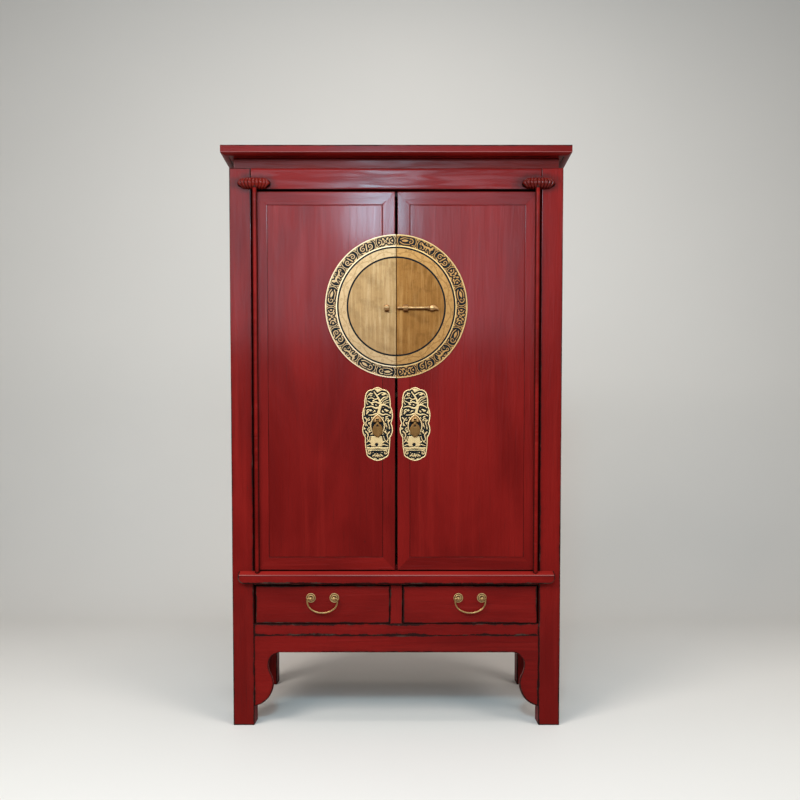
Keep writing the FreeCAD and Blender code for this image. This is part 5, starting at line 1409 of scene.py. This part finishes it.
def makeStage():
    # Floor that curves up into the backdrop: one profile carried sideways
    angle, radius, wallY = np.linspace(0, math.pi / 2, 25), studio["bend"], studio["wallY"]
    bend = stacked(wallY - radius + radius * np.sin(angle), radius * (1 - np.cos(angle)))
    profile = np.concatenate([[(-studio["reach"], 0)], bend, [(wallY, studio["reach"])]])
    across = np.linspace(-studio["halfWide"], studio["halfWide"], 3)
    points = stacked(across[:, None], profile[:, 0], profile[:, 1])
    index = np.arange(3 * len(profile)).reshape(3, -1)
    quads = np.stack([index[:-1, :-1], index[1:, :-1], index[1:, 1:], index[:-1, 1:]], -1).reshape(-1, 4)
    mesh = bpy.data.meshes.new("backdrop")
    mesh.from_pydata(points.reshape(-1, 3).tolist(), [], quads.tolist())
    mesh.shade_smooth()
    material, tree, shader = newMaterial("paleBackdrop", Roughness=0.85)
    place = addNode(tree, "TexCoord").outputs["Object"]
    darker = tuple(0.965 * c for c in studio["floor"][:3]) + (1,)
    tone = blended(tree, noiseOf(tree, place, 1.4, 3.0, 0.5), studio["floor"], darker)
    seen = addNode(tree, "LightPath").outputs["Is Camera Ray"]
    pale = blended(tree, seen, (1, 1, 1, 1), (1.33, 1.27, 1.24, 1))
    feed(tree, shader, Base_Color=blended(tree, 1.0, tone, pale, "MULTIPLY"))
    mesh.materials.append(material)
    backdrop = bpy.data.objects.new("backdrop", mesh)
    scene.collection.objects.link(backdrop)


lamps = {
    "softbox": dict(place=(-0.15, -3.3, 2.66), target=(-0.06, -0.25, 1.66), size=(0.40, 0.40), power=44,
                    tint=(0.42, 0.80, 1.0)),
    "window": dict(place=(-0.24, -3.3, 2.34), target=(-0.1, -0.25, 1.5), size=(2.4, 1.22), power=56,
                   tint=(0.66, 0.84, 1.0)),
    "overhead": dict(place=(0.0, -0.75, 3.6), target=(0, -0.25, 1.7), size=(0.5, 0.25), power=9,
                     tint=(1.0, 0.99, 0.97)),
    "key": dict(place=(-2.2, -2.7, 3.1), target=(0, 0, 1.1), size=(1.6, 1.6), power=86,
                tint=(1.0, 0.985, 0.96)),
    "fill": dict(place=(2.6, -2.5, 2.7), target=(0, 0, 1.1), size=(1.6, 1.6), power=50,
                 tint=(1.0, 0.99, 0.97)),
    "top": dict(place=(0.2, -0.2, 4.2), target=(0, 0, 0.8), size=(2.6, 2.6), power=45,
                tint=(1.0, 0.99, 0.97)),
}


def makeLights():
    for name, look in lamps.items():
        light = bpy.data.lights.new(name, "AREA")
        light.shape = "RECTANGLE"
        light.size, light.size_y = look["size"]
        light.energy = look["power"]
        light.color = look["tint"]
        lamp = bpy.data.objects.new(name, light)
        lamp.location = look["place"]
        way = np.array(look["target"]) - np.array(look["place"])
        yaw = math.atan2(way[0], -way[1])
        pitch = math.atan2(math.hypot(way[0], way[1]), -way[2])
        lamp.rotation_euler = (pitch, 0, yaw + math.pi)
        scene.collection.objects.link(lamp)
    world = bpy.data.worlds.new("studio")
    world.use_nodes = True
    ground = world.node_tree.nodes["Background"]
    ground.inputs["Color"].default_value = (1.0, 0.985, 0.96, 1)
    ground.inputs["Strength"].default_value = studio["world"]
    scene.world = world


view = dict(place=(0.0119, -2.716, 0.853), down=2.20, lens=34.5, sensor=36.0, rise=0.1156)


def makeCamera():
    camera = bpy.data.cameras.new("camera")
    camera.lens = view["lens"]
    camera.sensor_width = view["sensor"]
    camera.shift_y = view["rise"]
    holder = bpy.data.objects.new("camera", camera)
    holder.location = view["place"]
    holder.rotation_euler = (math.radians(90 - view["down"]), 0, 0)
    scene.collection.objects.link(holder)
    scene.camera = holder


makeStage()
makeLights()
makeCamera()
print("stage made")
